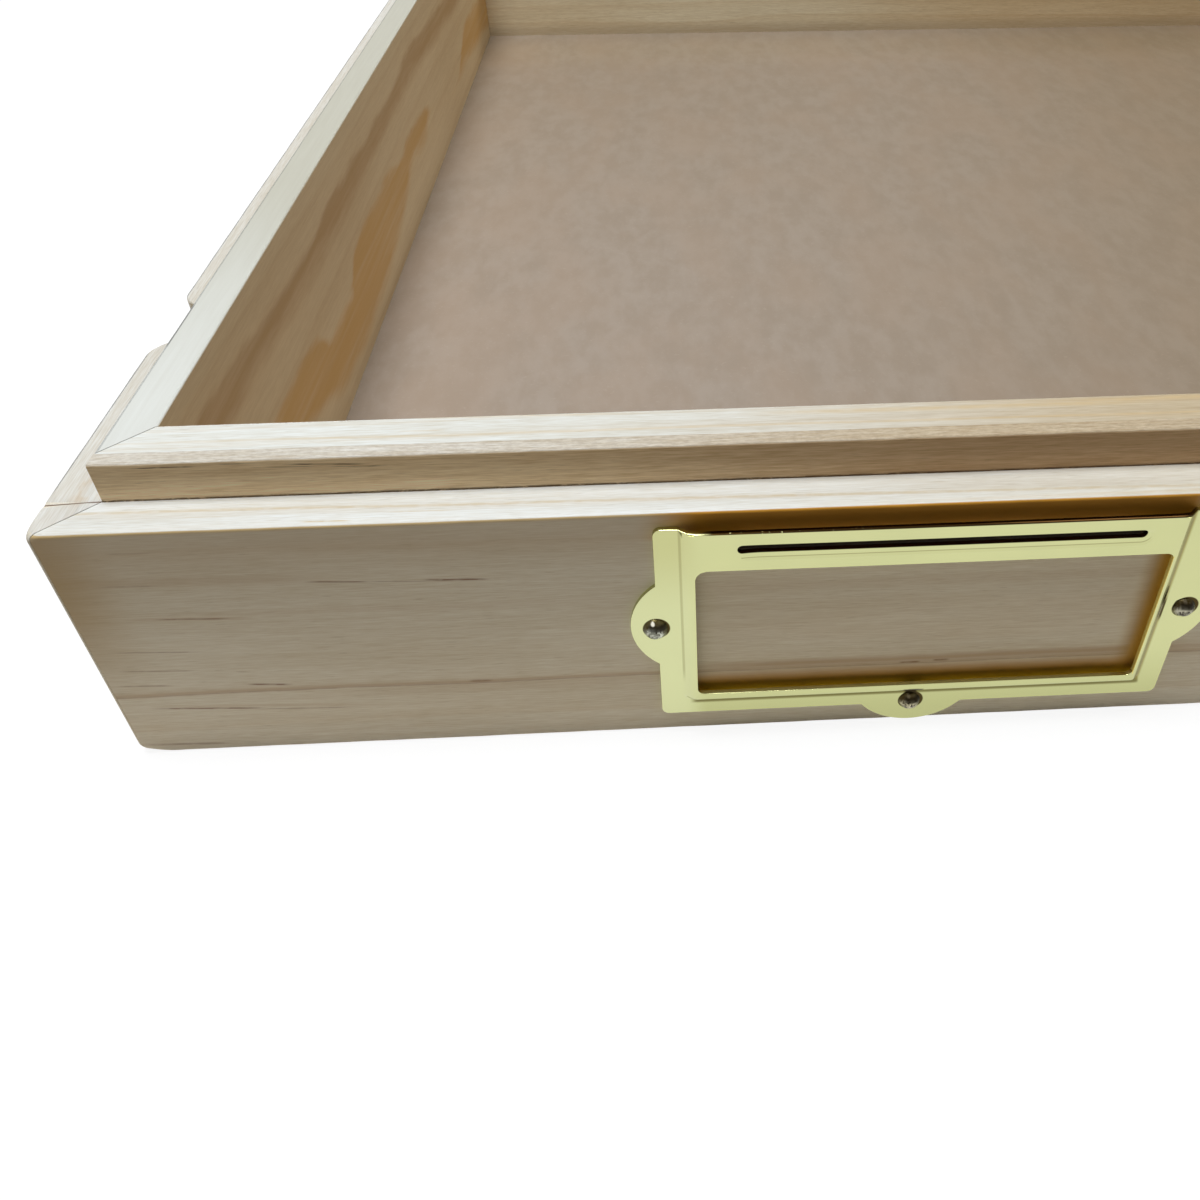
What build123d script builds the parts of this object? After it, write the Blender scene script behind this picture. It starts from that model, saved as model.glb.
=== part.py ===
"""Butterfly display case: an open pine tray and its lift-off glass lid.

Millimetres, +Z up, front of the tray towards -Y. The origin is the middle of
the tray's underside. The lid lies upside down behind the tray, as it does
while specimens are pinned; half a turn about lid_axis lays it on the ledge.
"""
from build123d import *
import os

# Tray
case_width = 500.0        # outside, left to right
case_depth = 400.0        # outside, front to back
wall_height = 46.0        # underside to the ledge that the lid sits on
side_board = 8.0          # left, right and back outer boards
front_board = 7.2         # front outer board
packing_strip = 2.7       # sawn strip between front board and front liner
liner_board = 6.5         # liner boards standing inside the outer boards
lip_height = 6.2          # liner above the ledge
corner_round = 1.0        # upright outside corners
foot_round = 0.8          # bottom outside edges
arris = 0.4               # sanded edges at the ledge
lip_arris = 0.3           # edges of the lip
score_width = 0.3         # saw score along the foot of the front lip
score_depth = 0.35

# Floor panel, let in flush with the underside
panel_thickness = 3.2
panel_seat = 4.0          # how far it reaches under the outer boards
panel_gap = 0.1           # between the panel's edge and its rebate

# Finger notches in the side boards
notch_from_front = 58.0
notch_radius = 9.0
notch_depth = 5.5
notch_height = 16.0       # below the ledge
notch_mouth_round = 5.0   # blends the notch into the board's face
cutter_clear = 0.05       # the blend is drawn this far outside the face

# Label holder, one piece of pressed sheet brass
holder_from_left = 125.0  # outside of the tray to the middle of the holder
holder_width = 81.2
holder_height = 38.7
holder_above_base = 4.95
sheet = 0.8
card_gap = 1.3            # room for the card behind the raised panel
side_flange = 3.55
bottom_flange = 3.0
bend_run = 1.75           # width of the sloping bend
bend_corner = 1.8
plate_corner = 1.2
tab_radius = 10.3
tab_reach = 4.0
side_tab_up = 19.9        # bottom of the holder to the middle of a side tab
window_rim = 0.55         # flat of the raised panel beside the window
window_up = 6.05          # bottom of the holder to the window
window_below_top = 6.95
window_corner = 1.3
slot_left_inset = 11.9    # left side of the holder to the end of the slot
slot_right_inset = 10.6
slot_height = 1.25
slot_below_top = 3.0      # top of the holder to the middle of the slot

# Round-headed pins of the label holder
pin_head_diameter = 3.9
pin_head_height = 1.25
pin_diameter = 1.3
pin_length = 7.4          # under the head
pin_point = 1.2
pin_relief = 0.15         # between a pin's head and the raised panel's bend
pin_shift = -0.3          # hand-driven pins, this far right of the tabs' middles
side_pin_drop = 0.5       # and the side ones this far below them
bottom_pin_up = 0.85      # pin above the holder's straight bottom edge

# Lid
lid_height = 14.0
rail_width = 17.0
lid_fit = 0.4             # between the lid's legs and the lip
lip_headroom = 0.3        # between the top of the lip and the lid
glass_thickness = 2.0
glass_rebate = 8.0
glass_gap = 0.5           # around the pane's edge
bead_width = 6.0
bead_height = 3.0
lid_gap = 30.0            # between the tray and the lid that lies behind it

# Brads of the floor panel and of the glazing beads
brad_diameter = 1.1
brad_head_diameter = 2.0
brad_head_height = 0.6
brad_sink = 0.1           # head below the surface
panel_brad_length = 14.0
panel_brad_spacing = 80.0
panel_brad_from_corner = 30.0
bead_brad_length = 12.0
bead_brad_spacing = 110.0
bead_brad_from_corner = 35.0

# Places worked out from the sizes above
half_width = case_width / 2
half_depth = case_depth / 2
front_face = -half_depth
wall_inside_x = half_width - side_board
wall_inside_front = front_face + front_board
wall_inside_back = half_depth - side_board
liner_front = wall_inside_front + packing_strip
room_x = wall_inside_x - liner_board
room_front = liner_front + liner_board
room_back = wall_inside_back - liner_board
lip_top = wall_height + lip_height
notch_y = front_face + notch_from_front
lid_top = wall_height + lid_height
lid_axis = Axis((0, half_depth + lid_gap / 2, lid_top / 2), (1, 0, 0))
opening_x = half_width - rail_width
opening_y = half_depth - rail_width
shelf_z = lid_top - bead_height - glass_thickness
far = case_width + case_depth


def block(x, y, z):
    """Box between the pairs x, y and z."""
    centre = Pos((x[0] + x[1]) / 2, (y[0] + y[1]) / 2, (z[0] + z[1]) / 2)
    return centre * Box(x[1] - x[0], y[1] - y[0], z[1] - z[0])


def prism(points, z):
    """Upright solid on a plan outline, between the pair z."""
    outline = make_face(Polyline(*points, close=True))
    return extrude(Pos(0, 0, z[0]) * outline, amount=z[1] - z[0], dir=(0, 0, 1))


def mitre_zone(inside_x, inside_y, side):
    """All space on one side (-1 front, 1 back) of the corners' 45 degree mitres."""
    reach = far * side
    points = [
        (-inside_x, inside_y),
        (inside_x, inside_y),
        (inside_x + far, inside_y + reach),
        (-inside_x - far, inside_y + reach),
    ]
    return prism(points, (-far, far))


def four_boards(ring, inside_x, inside_front, inside_back):
    """Cut a closed frame at its mitres into front, back, left and right."""
    front_zone = mitre_zone(inside_x, inside_front, -1)
    back_zone = mitre_zone(inside_x, inside_back, 1)
    sides = ring - front_zone - back_zone
    left_half = block((-far, 0), (-far, far), (-far, far))
    right_half = block((0, far), (-far, far), (-far, far))
    return ring & front_zone, ring & back_zone, sides & left_half, sides & right_half


def eased_block(z, top_round, bottom_round):
    """The case's outside between the pair z, with its corners rounded."""
    body = block((-half_width, half_width), (-half_depth, half_depth), z)
    body = fillet(body.edges().filter_by(Axis.Z), corner_round)
    body = fillet(body.faces().sort_by(Axis.Z)[-1].edges(), top_round)
    return fillet(body.faces().sort_by(Axis.Z)[0].edges(), bottom_round)


def notch_cutter(side):
    """Scoop for a fingertip, in plan a circle blended into the board's face."""
    centre_x = half_width + notch_radius - notch_depth
    bowl = Pos(centre_x, notch_y) * Circle(notch_radius)
    mouth_x = half_width + cutter_clear
    mouth = Pos(mouth_x + notch_radius, notch_y) * Rectangle(
        2 * notch_radius, 4 * notch_radius + 4 * notch_mouth_round)
    plan = bowl + mouth
    rim = [v for v in plan.vertices() if v.X < mouth_x + cutter_clear and abs(v.Y - notch_y) < notch_radius]
    plan = fillet(rim, notch_mouth_round)
    floor_z = wall_height - notch_height
    cutter = extrude(Pos(0, 0, floor_z) * plan, amount=2 * notch_height, dir=(0, 0, 1))
    return cutter if side > 0 else cutter.mirror(Plane.YZ)


def brad(length):
    """Flat-headed wire nail along -Z, top of the head at the origin."""
    head = Pos(0, 0, -brad_head_height / 2) * Cylinder(brad_head_diameter / 2, brad_head_height)
    shank_length = length - brad_head_height
    shank = Pos(0, 0, -brad_head_height - shank_length / 2) * Cylinder(brad_diameter / 2, shank_length)
    return head + shank


def spaced(half_length, from_corner, spacing):
    """Even places along a side, close to the wanted spacing."""
    run = 2 * (half_length - from_corner)
    steps = max(1, round(run / spacing))
    return [-half_length + from_corner + run * i / steps for i in range(steps + 1)]


def outer_frame():
    """Outer boards as one frame: panel rebate, notches and saw score cut."""
    ring = eased_block((0, wall_height), arris, foot_round)
    ring -= block((-wall_inside_x, wall_inside_x), (wall_inside_front, wall_inside_back), (-far, far))
    seat = panel_seat + panel_gap
    ring -= block(
        (-wall_inside_x - seat, wall_inside_x + seat),
        (wall_inside_front - seat, wall_inside_back + seat),
        (-far, panel_thickness))
    ring -= block(
        (-half_width, half_width),
        (wall_inside_front - score_width, wall_inside_front),
        (wall_height - score_depth, far))
    return ring - notch_cutter(-1) - notch_cutter(1)


def ease_lip(shape, seam_y):
    """Ease the lip's top edges, apart from the glued seam at seam_y."""
    top = shape.faces().sort_by(Axis.Z)[-1]
    free = [edge for edge in top.edges() if abs(edge.center().Y - seam_y) > lip_arris]
    return fillet(free, lip_arris)


def liner_frame():
    """Liner boards as one frame, standing on the floor panel."""
    ring = block((-wall_inside_x, wall_inside_x), (liner_front, wall_inside_back), (panel_thickness, lip_top))
    ring -= block((-room_x, room_x), (room_front, room_back), (-far, far))
    return ease_lip(ring, liner_front)


def strip():
    """Sawn strip that fills the front between outer board and liner."""
    filler = block(
        (-wall_inside_x, wall_inside_x), (wall_inside_front, liner_front), (panel_thickness, lip_top))
    return ease_lip(filler, liner_front)


def floor_panel():
    """Hardboard floor."""
    return block(
        (-wall_inside_x - panel_seat, wall_inside_x + panel_seat),
        (wall_inside_front - panel_seat, wall_inside_back + panel_seat),
        (0, panel_thickness))


def panel_brad_places():
    """Brads along all four sides, in the middle of the panel's seat."""
    x_line = wall_inside_x + panel_seat / 2
    front_line = wall_inside_front - panel_seat / 2
    back_line = wall_inside_back + panel_seat / 2
    across = spaced(wall_inside_x, panel_brad_from_corner, panel_brad_spacing)
    along = spaced(half_depth - side_board, panel_brad_from_corner, panel_brad_spacing)
    places = [(x, y) for x in across for y in (front_line, back_line)]
    return places + [(x, y) for y in along for x in (-x_line, x_line)]


def panel_nails():
    """Brads driven up through the floor panel into the outer boards."""
    nail = Rot(180, 0, 0) * brad(panel_brad_length)
    return [Pos(x, y, brad_sink) * nail for x, y in panel_brad_places()]


holder_plane = Plane(
    origin=(-half_width + holder_from_left, front_face, holder_above_base),
    x_dir=(1, 0, 0), z_dir=(0, -1, 0))


def pin_places():
    """Pin positions on the holder: left, right, bottom."""
    side_x = holder_width / 2
    return {
        "left": (-side_x + pin_shift, side_tab_up - side_pin_drop),
        "right": (side_x + pin_shift, side_tab_up - side_pin_drop),
        "bottom": (pin_shift, bottom_pin_up),
    }


def bulge(out_from, out_to, inset):
    """Raised panel as a solid with sloping sides, open past the holder's top."""
    over = 4 * bend_run + sheet
    width = holder_width - 2 * side_flange - 2 * inset
    height = holder_height - bottom_flange - inset + over
    middle = bottom_flange + inset + height / 2
    low = Pos(0, middle, out_from) * RectangleRounded(width, height, bend_corner)
    high = Pos(0, middle, out_to) * RectangleRounded(
        width - 2 * bend_run, height - 2 * bend_run, bend_corner)
    return loft([low, high])


def label_holder():
    """Pressed holder with three pin tabs, card window and top slot."""
    plate = Pos(0, holder_height / 2) * RectangleRounded(holder_width, holder_height, plate_corner)
    disc = Circle(tab_radius)
    beyond = Rectangle(2 * tab_radius, 2 * tab_radius)
    side_x = holder_width / 2
    inward = tab_radius - tab_reach
    for side in (-1, 1):
        tab = Pos(side * (side_x - inward), side_tab_up) * disc
        plate += tab & (Pos(side * (side_x - plate_corner + tab_radius), side_tab_up) * beyond)
    foot = Pos(0, inward) * disc
    plate += foot & (Pos(0, plate_corner - tab_radius) * beyond)
    body = extrude(plate, amount=sheet, dir=(0, 0, 1))
    slope_angle_shift = sheet * ((card_gap**2 + bend_run**2) ** 0.5 - bend_run) / card_gap
    raised = bulge(sheet, sheet + card_gap, 0)
    hollow = bulge(0, card_gap, slope_angle_shift)
    above = Pos(0, holder_height + far / 2, 0) * Box(far, far, far)
    body = body + (raised - above) - hollow
    depth = 4 * (sheet + card_gap)
    window_width = holder_width - 2 * (side_flange + bend_run + window_rim)
    window_height = holder_height - window_below_top - window_up
    window = Pos(0, window_up + window_height / 2) * RectangleRounded(
        window_width, window_height, window_corner)
    slot_length = holder_width - slot_left_inset - slot_right_inset
    slot_middle = (slot_left_inset - slot_right_inset) / 2
    slot = Pos(slot_middle, holder_height - slot_below_top) * SlotOverall(slot_length, slot_height)
    body -= extrude(window, amount=depth, dir=(0, 0, 1))
    body -= extrude(slot, amount=depth, dir=(0, 0, 1))
    for u, v in pin_places().values():
        body -= Pos(u, v) * Cylinder(pin_diameter / 2, depth)
        body -= Pos(u, v, sheet + depth / 2) * Cylinder(pin_head_diameter / 2 + pin_relief, depth)
    return holder_plane * body


def round_pin():
    """Round-headed pin along -Z, underside of the head at the origin."""
    r = pin_head_diameter / 2
    h = pin_head_height
    s = pin_diameter / 2
    dome = (r**2 + h**2) / (2 * h)
    crown = (r * 0.5, h - dome + (dome**2 - (r * 0.5) ** 2) ** 0.5)
    side = Polyline((0, h), (0, -pin_length), (s, -pin_length + pin_point), (s, 0), (r, 0))
    profile = make_face(side + ThreePointArc((r, 0), crown, (0, h)))
    return revolve(Plane.XZ * profile, Axis.Z)


def holder_pins():
    """The three pins in place, heads on the sheet."""
    return {
        name: holder_plane * (Pos(u, v, sheet) * round_pin())
        for name, (u, v) in pin_places().items()
    }


def lid_frame():
    """Lid rails as one frame: lip recess below, glass rebate above."""
    ring = eased_block((wall_height, lid_top), foot_round, arris)
    ring -= block((-opening_x, opening_x), (-opening_y, opening_y), (-far, far))
    ring -= block(
        (-wall_inside_x - lid_fit, wall_inside_x + lid_fit),
        (wall_inside_front - lid_fit, wall_inside_back + lid_fit),
        (-far, lip_top + lip_headroom))
    return ring - block(
        (-opening_x - glass_rebate, opening_x + glass_rebate),
        (-opening_y - glass_rebate, opening_y + glass_rebate),
        (shelf_z, far))


def glass_pane():
    """Pane lying on the rebate's shelf."""
    reach = glass_rebate - glass_gap
    return block(
        (-opening_x - reach, opening_x + reach),
        (-opening_y - reach, opening_y + reach),
        (shelf_z, shelf_z + glass_thickness))


def bead_frame():
    """Glazing beads as one frame, on the pane and against the rebate's wall."""
    x = opening_x + glass_rebate
    y = opening_y + glass_rebate
    z = (shelf_z + glass_thickness, lid_top)
    ring = block((-x, x), (-y, y), z)
    return ring - block((-x + bead_width, x - bead_width), (-y + bead_width, y - bead_width), (-far, far))


def bead_nails():
    """Brads driven sideways through the beads into the rails."""
    z = lid_top - bead_height / 2
    inner_x = opening_x + glass_rebate - bead_width
    inner_y = opening_y + glass_rebate - bead_width
    nails = []
    for y in spaced(inner_y, bead_brad_from_corner, bead_brad_spacing):
        nails.append(Pos(inner_x + brad_sink, y, z) * Rot(0, -90, 0) * brad(bead_brad_length))
        nails.append(Pos(-inner_x - brad_sink, y, z) * Rot(0, 90, 0) * brad(bead_brad_length))
    for x in spaced(inner_x, bead_brad_from_corner, bead_brad_spacing):
        nails.append(Pos(x, inner_y + brad_sink, z) * Rot(90, 0, 0) * brad(bead_brad_length))
        nails.append(Pos(x, -inner_y - brad_sink, z) * Rot(-90, 0, 0) * brad(bead_brad_length))
    return nails


def without(shape, cutters):
    """A piece with the holes that its nails or pins fill."""
    for cutter in cutters:
        shape -= cutter
    return shape


def tray_nodes():
    """Every piece of the tray, by name."""
    nails = panel_nails()
    pins = holder_pins()
    walls = four_boards(outer_frame(), wall_inside_x, wall_inside_front, wall_inside_back)
    liners = four_boards(liner_frame(), room_x, room_front, room_back)
    nodes = {}
    for name, wall in zip(("front", "back", "left", "right"), walls):
        nodes[f"{name}_wall"] = without(wall, nails)
    nodes["front_wall"] = without(nodes["front_wall"], pins.values())
    for name, liner in zip(("front", "back", "left", "right"), liners):
        nodes[f"{name}_liner"] = liner
    nodes["packing_strip"] = strip()
    nodes["floor_panel"] = without(floor_panel(), nails)
    nodes["floor_panel_brads"] = Compound(children=nails)
    nodes["label_holder"] = label_holder()
    for name, pin in pins.items():
        nodes[f"label_pin_{name}"] = pin
    return nodes


def lid_nodes():
    """Every piece of the lid, by name, in its place on the tray."""
    nails = bead_nails()
    rails = four_boards(lid_frame(), opening_x, -opening_y, opening_y)
    bead_x = opening_x + glass_rebate - bead_width
    bead_y = opening_y + glass_rebate - bead_width
    beads = four_boards(bead_frame(), bead_x, -bead_y, bead_y)
    nodes = {}
    for name, rail in zip(("front", "back", "left", "right"), rails):
        nodes[f"lid_{name}_rail"] = without(rail, nails)
    for name, bead in zip(("front", "back", "left", "right"), beads):
        nodes[f"{name}_glazing_bead"] = without(bead, nails)
    nodes["glass_pane"] = glass_pane()
    nodes["glazing_bead_brads"] = Compound(children=nails)
    return nodes


os.makedirs("parts", exist_ok=True)
for node, shape in tray_nodes().items():
    export_step(shape, f"parts/{node}.step")
for node, shape in lid_nodes().items():
    export_step(shape.rotate(lid_axis, 180), f"parts/{node}.step")
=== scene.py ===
# %% [markdown]
# # Butterfly display case, dressed for the camera
#
# The case is a plain pine tray for pinned butterflies. Four outer boards are mitred into a frame, four
# thinner liner boards stand inside them and rise above them as a lip, and a glazed lid drops over that lip.
# A pressed brass holder for a label card is pinned to the front. The lid is off, upside down behind the tray.
#
# The construction model already gives every piece its place and size. This lesson adds what the eye sees:
# eased and slightly uneven edges, hairline joints, grain, saw marks, polished brass and hammered pin heads.

# %% Load the frame
import math

import bmesh
import bpy
import numpy as np
from mathutils import Matrix, Vector, geometry


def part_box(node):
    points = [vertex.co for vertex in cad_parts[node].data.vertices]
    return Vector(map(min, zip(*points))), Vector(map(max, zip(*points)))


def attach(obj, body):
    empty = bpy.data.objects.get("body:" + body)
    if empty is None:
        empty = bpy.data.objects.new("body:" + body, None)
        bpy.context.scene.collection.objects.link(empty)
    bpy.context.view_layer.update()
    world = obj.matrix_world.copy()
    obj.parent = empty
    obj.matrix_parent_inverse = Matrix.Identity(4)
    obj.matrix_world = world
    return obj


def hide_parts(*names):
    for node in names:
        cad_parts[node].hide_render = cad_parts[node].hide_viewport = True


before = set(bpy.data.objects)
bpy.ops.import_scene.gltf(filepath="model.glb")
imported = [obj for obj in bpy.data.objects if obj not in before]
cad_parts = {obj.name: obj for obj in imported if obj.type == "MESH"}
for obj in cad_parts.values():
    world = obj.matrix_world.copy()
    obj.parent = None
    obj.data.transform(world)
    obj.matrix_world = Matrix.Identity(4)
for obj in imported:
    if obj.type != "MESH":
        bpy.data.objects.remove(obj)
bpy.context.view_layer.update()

MM = 0.001

# %% [markdown]
# ## Sizes
#
# A dressed piece has to sit exactly where its construction solid sits, so no size is typed twice: each one
# is read from the box of a node. Shapes are worked out in millimetres, because a woodworker thinks in them,
# and turned into metres only when the mesh is made.

# %% Read the sizes of the boards


def low(node):
    """Lowest corner of a construction node, in millimetres."""
    return np.array(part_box(node)[0]) / MM


def high(node):
    """Highest corner of a construction node, in millimetres."""
    return np.array(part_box(node)[1]) / MM


HALF_WIDTH = high("right_wall")[0]
FRONT = low("front_wall")[1]
BACK = high("back_wall")[1]
LEDGE = high("left_wall")[2]
WALL_X = low("right_wall")[0]
WALL_FRONT = high("front_wall")[1]
WALL_BACK = low("back_wall")[1]
ROOM_X = low("right_liner")[0]
ROOM_FRONT = high("front_liner")[1]
ROOM_BACK = low("back_liner")[1]
LINER_FRONT = low("front_liner")[1]
LIP = high("front_liner")[2]
PANEL = high("floor_panel")[2]
PANEL_REACH = high("floor_panel")[0]
print("case", 2 * HALF_WIDTH, "x", BACK - FRONT, "ledge", LEDGE, "lip", LIP)

# %% [markdown]
# ## Camera
#
# The view looks down on the front left corner from close by, through a normal lens whose axis lies right of
# and above the middle of the frame, as when a larger picture is cropped. A small lens shift gives that crop
# without turning the camera, so upright edges keep their lean.

# %% Place the camera
EYE = Vector((-161.84, -315.05, 139.57)) * MM
LOOK_DOWN = math.radians(40.234)
LOOK_RIGHT = math.radians(3.609)
ROLL = math.radians(0.18)
camera_data = bpy.data.cameras.new("camera")
camera_data.sensor_width = 36.0
camera_data.lens = 32.188
camera_data.shift_x = -0.10886
camera_data.shift_y = -0.05571
camera_data.clip_start = 0.01
camera_data.clip_end = 60.0
camera = bpy.data.objects.new("camera", camera_data)
camera.location = EYE
turned = Matrix.Rotation(-LOOK_RIGHT, 3, "Z") @ Matrix.Rotation(math.pi / 2 - LOOK_DOWN, 3, "X")
camera.rotation_euler = (turned @ Matrix.Rotation(ROLL, 3, "Z")).to_euler()
bpy.context.scene.collection.objects.link(camera)
bpy.context.scene.camera = camera
bpy.context.scene.view_settings.view_transform = "Standard"
print("camera at", [round(v, 4) for v in EYE])

# %% [markdown]
# ## Node helpers
#
# Every finish here is a small network of nodes. Written out one by one they fill pages, so a few helpers do
# the typing: one makes a node and fills its sockets, with a value or with a link, and one does sums. A linked
# socket knows which tree it is in, so the tree is named only where a network starts. Most of the work is done
# with masks, which are 1 in one part of a piece and 0 elsewhere. `band` picks out such a part by its
# coordinate, `both` multiplies masks, and `paint` and `tinted` use them.

# %% Make nodes, sums and mixes


def give(node, inputs):
    """Fill a node's inputs: a socket is linked, a value is set, and a colour gets full alpha."""
    for key, value in inputs.items():
        if isinstance(value, bpy.types.NodeSocket):
            node.id_data.links.new(value, node.inputs[key])
        elif node.inputs[key].type == "RGBA":
            node.inputs[key].default_value = (*value, 1.0)
        else:
            node.inputs[key].default_value = value


def add(kind, inputs, tree=None, **settings):
    """Make a node, set its properties and fill its inputs, in a tree or beside the first linked socket."""
    if tree is None:
        tree = next(value.id_data for value in inputs.values() if isinstance(value, bpy.types.NodeSocket))
    made = tree.nodes.new(kind)
    for key, value in settings.items():
        setattr(made, key, value)
    give(made, inputs)
    return made


def calc(operation, *values, clamp=False):
    """One Math node; each value is a number or a socket."""
    inputs = dict(enumerate(values))
    return add("ShaderNodeMath", inputs, operation=operation, use_clamp=clamp).outputs[0]


def step(value, start, end, low_out=0.0, high_out=1.0):
    """Smooth step from start to end."""
    inputs = {"Value": value, "From Min": start, "From Max": end, "To Min": low_out, "To Max": high_out}
    return add("ShaderNodeMapRange", inputs, interpolation_type="SMOOTHSTEP").outputs[0]


def fade(value, start, end):
    """1 before start, falling smoothly to 0 at end."""
    return step(value, start, end, 1.0, 0.0)


def mix(factor, first, second, blend="MIX"):
    """Mix two colours; the factor is a number or a socket."""
    inputs = {0: factor, 6: first, 7: second}
    return add("ShaderNodeMix", inputs, data_type="RGBA", blend_type=blend).outputs[2]


def tinted(color, tone, mask=1.0):
    """A colour times a tone, as far as the mask goes."""
    return mix(mask, color, tone, blend="MULTIPLY")


# %% Masks and paint


def both(*masks):
    """Product of masks."""
    total = masks[0]
    for mask in masks[1:]:
        total = calc("MULTIPLY", total, mask)
    return total


def paint(color, tone, *masks):
    """Lay a tone over a colour where every mask is 1."""
    return mix(both(*masks), color, tone)


def band(value, low=None, high=None, soft=0.1):
    """1 where value lies between low and high, fading over soft on each side; None leaves a side open."""
    made = 1.0
    if low is not None:
        made = step(value, low - soft, low + soft)
    if high is not None:
        below = fade(value, high - soft, high + soft)
        made = below if low is None else calc("MULTIPLY", made, below)
    return made


# %% Noise, coordinates and new materials


def noise(space, sizes, detail=2.0, rough=0.5):
    """Noise factor, about 0.5 on average, with features of the given sizes along the three axes."""
    inputs = {"Vector": space, "Scale": tuple(1.0 / size for size in sizes)}
    vector = add("ShaderNodeMapping", inputs).outputs[0]
    inputs = {"Vector": vector, "Scale": 1.0, "Detail": detail, "Roughness": rough}
    return add("ShaderNodeTexNoise", inputs).outputs[0]


def minus(first, second):
    """Difference of two values."""
    return calc("SUBTRACT", first, second)


def away(value, middle):
    """Distance of a value from a middle."""
    return calc("ABSOLUTE", minus(value, middle))


def swayed(value, wave, size, clamp=False):
    """A value moved by noise: value + size * (wave - 0.5)."""
    return calc("MULTIPLY_ADD", minus(wave, 0.5), size, value, clamp=clamp)


def axes(space):
    """The three coordinates of a vector."""
    return add("ShaderNodeSeparateXYZ", {0: space}).outputs


def bump(height, strength, distance):
    """A normal bent by a height map; distance in metres."""
    inputs = {"Height": height, "Strength": strength, "Distance": distance}
    return add("ShaderNodeBump", inputs).outputs[0]


def new_material(name):
    """An empty material with a Principled shader; returns the material, its tree and the shader."""
    material = bpy.data.materials.new(name)
    material.use_nodes = True
    tree = material.node_tree
    return material, tree, tree.nodes["Principled BSDF"]


# %% [markdown]
# ## Floor, backdrop and light
#
# The case stands on a sheet of cream paper, and the table beyond it is darker. So the boards get most of
# their light from the paper close by: a board is brightest at its foot and dims upwards. Eyes and metal
# should see plain white instead. Light Path tells the two apart: rays from the lens, from polished metal and
# through glass meet white, all other rays meet the paper and the table. A little matt grey stays in the
# white, so that the case keeps its shadow.
#
# One soft lamp over the front left corner does most of the work. A warmer one behind on the right fills in
# where the lid lies. The farther the table reaches, the less shadow the eye expects on it, so its white
# grows to full strength a metre away and hides where the table ends.

# %% The table
WHITE = (1.0, 1.0, 1.0)
TABLE_SIZE = 30.0
PAPER_MARGIN = 0.085
PAPER_SOFT = 0.05
WHITE_GROWS = (0.5, 1.3)


def seen_directly(tree):
    """1 for rays from the camera, from gloss and through glass, else 0."""
    path = add("ShaderNodeLightPath", {}, tree)
    direct = calc("MAXIMUM", path.outputs["Is Camera Ray"], path.outputs["Is Glossy Ray"])
    return calc("MAXIMUM", direct, path.outputs["Is Transmission Ray"])


def beyond_paper(tree):
    """0 on the paper, 1 on the table: distance outside the case's footprint, softly stepped."""
    x, y, _ = axes(add("ShaderNodeTexCoord", {}, tree).outputs["Object"])
    aside = minus(calc("ABSOLUTE", x), HALF_WIDTH * MM)
    front, behind = minus(FRONT * MM, y), minus(y, high("lid_front_rail")[1] * MM)
    outside = calc("MAXIMUM", aside, calc("MAXIMUM", front, behind))
    return step(outside, PAPER_MARGIN - PAPER_SOFT, PAPER_MARGIN + PAPER_SOFT)


def table_material():
    """Cream paper on a darker table for the light, near white for the eye."""
    material, tree, shader = new_material("table")
    tree.nodes.remove(shader)
    output = tree.nodes["Material Output"]
    color = mix(beyond_paper(tree), (0.92, 0.82, 0.66), (0.16, 0.13, 0.09))
    bounce = add("ShaderNodeBsdfDiffuse", {"Color": color})
    matt = add("ShaderNodeBsdfDiffuse", {"Color": (0.16, 0.16, 0.16)}, tree)
    place = add("ShaderNodeTexCoord", {}, tree).outputs["Object"]
    far = add("ShaderNodeVectorMath", {0: place}, operation="LENGTH").outputs["Value"]
    strength = step(far, *WHITE_GROWS, 0.90, 1.0)
    glow = add("ShaderNodeEmission", {"Color": WHITE, "Strength": strength})
    white = add("ShaderNodeAddShader", {0: matt.outputs[0], 1: glow.outputs[0]})
    choice = {0: seen_directly(tree), 1: bounce.outputs[0], 2: white.outputs[0]}
    give(output, {"Surface": add("ShaderNodeMixShader", choice).outputs[0]})
    return material


def table():
    """One large square on the floor, with its middle under the case."""
    half = TABLE_SIZE / 2
    corners = [(-half, -half, 0.0), (half, -half, 0.0), (half, half, 0.0), (-half, half, 0.0)]
    mesh = bpy.data.meshes.new("table")
    mesh.from_pydata(corners, [], [(0, 1, 2, 3)])
    mesh.materials.append(table_material())
    made = bpy.data.objects.new("table", mesh)
    bpy.context.scene.collection.objects.link(made)


# %% The world and the lamps


def studio_world():
    """White where the eye, metal or glass looks at it, and a dim even fill for everything else."""
    world = bpy.data.worlds.new("studio")
    bpy.context.scene.world = world
    world.use_nodes = True
    tree = world.node_tree
    fill = tree.nodes["Background"]
    give(fill, {"Color": (0.95, 0.97, 1.0), "Strength": 0.03})
    white = add("ShaderNodeBackground", {"Color": WHITE, "Strength": 1.0}, tree)
    choice = {0: seen_directly(tree), 1: fill.outputs[0], 2: white.outputs[0]}
    give(tree.nodes["World Output"], {"Surface": add("ShaderNodeMixShader", choice).outputs[0]})


def soft_lamp(name, place, target, size, power, color):
    """A square area lamp at place, turned towards target; metres and watts."""
    data = bpy.data.lights.new(name, "AREA")
    data.shape = "SQUARE"
    data.size = size
    data.energy = power
    data.color = color
    lamp = bpy.data.objects.new(name, data)
    lamp.location = place
    lamp.rotation_euler = (Vector(target) - Vector(place)).to_track_quat("-Z", "Y").to_euler()
    bpy.context.scene.collection.objects.link(lamp)


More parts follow.
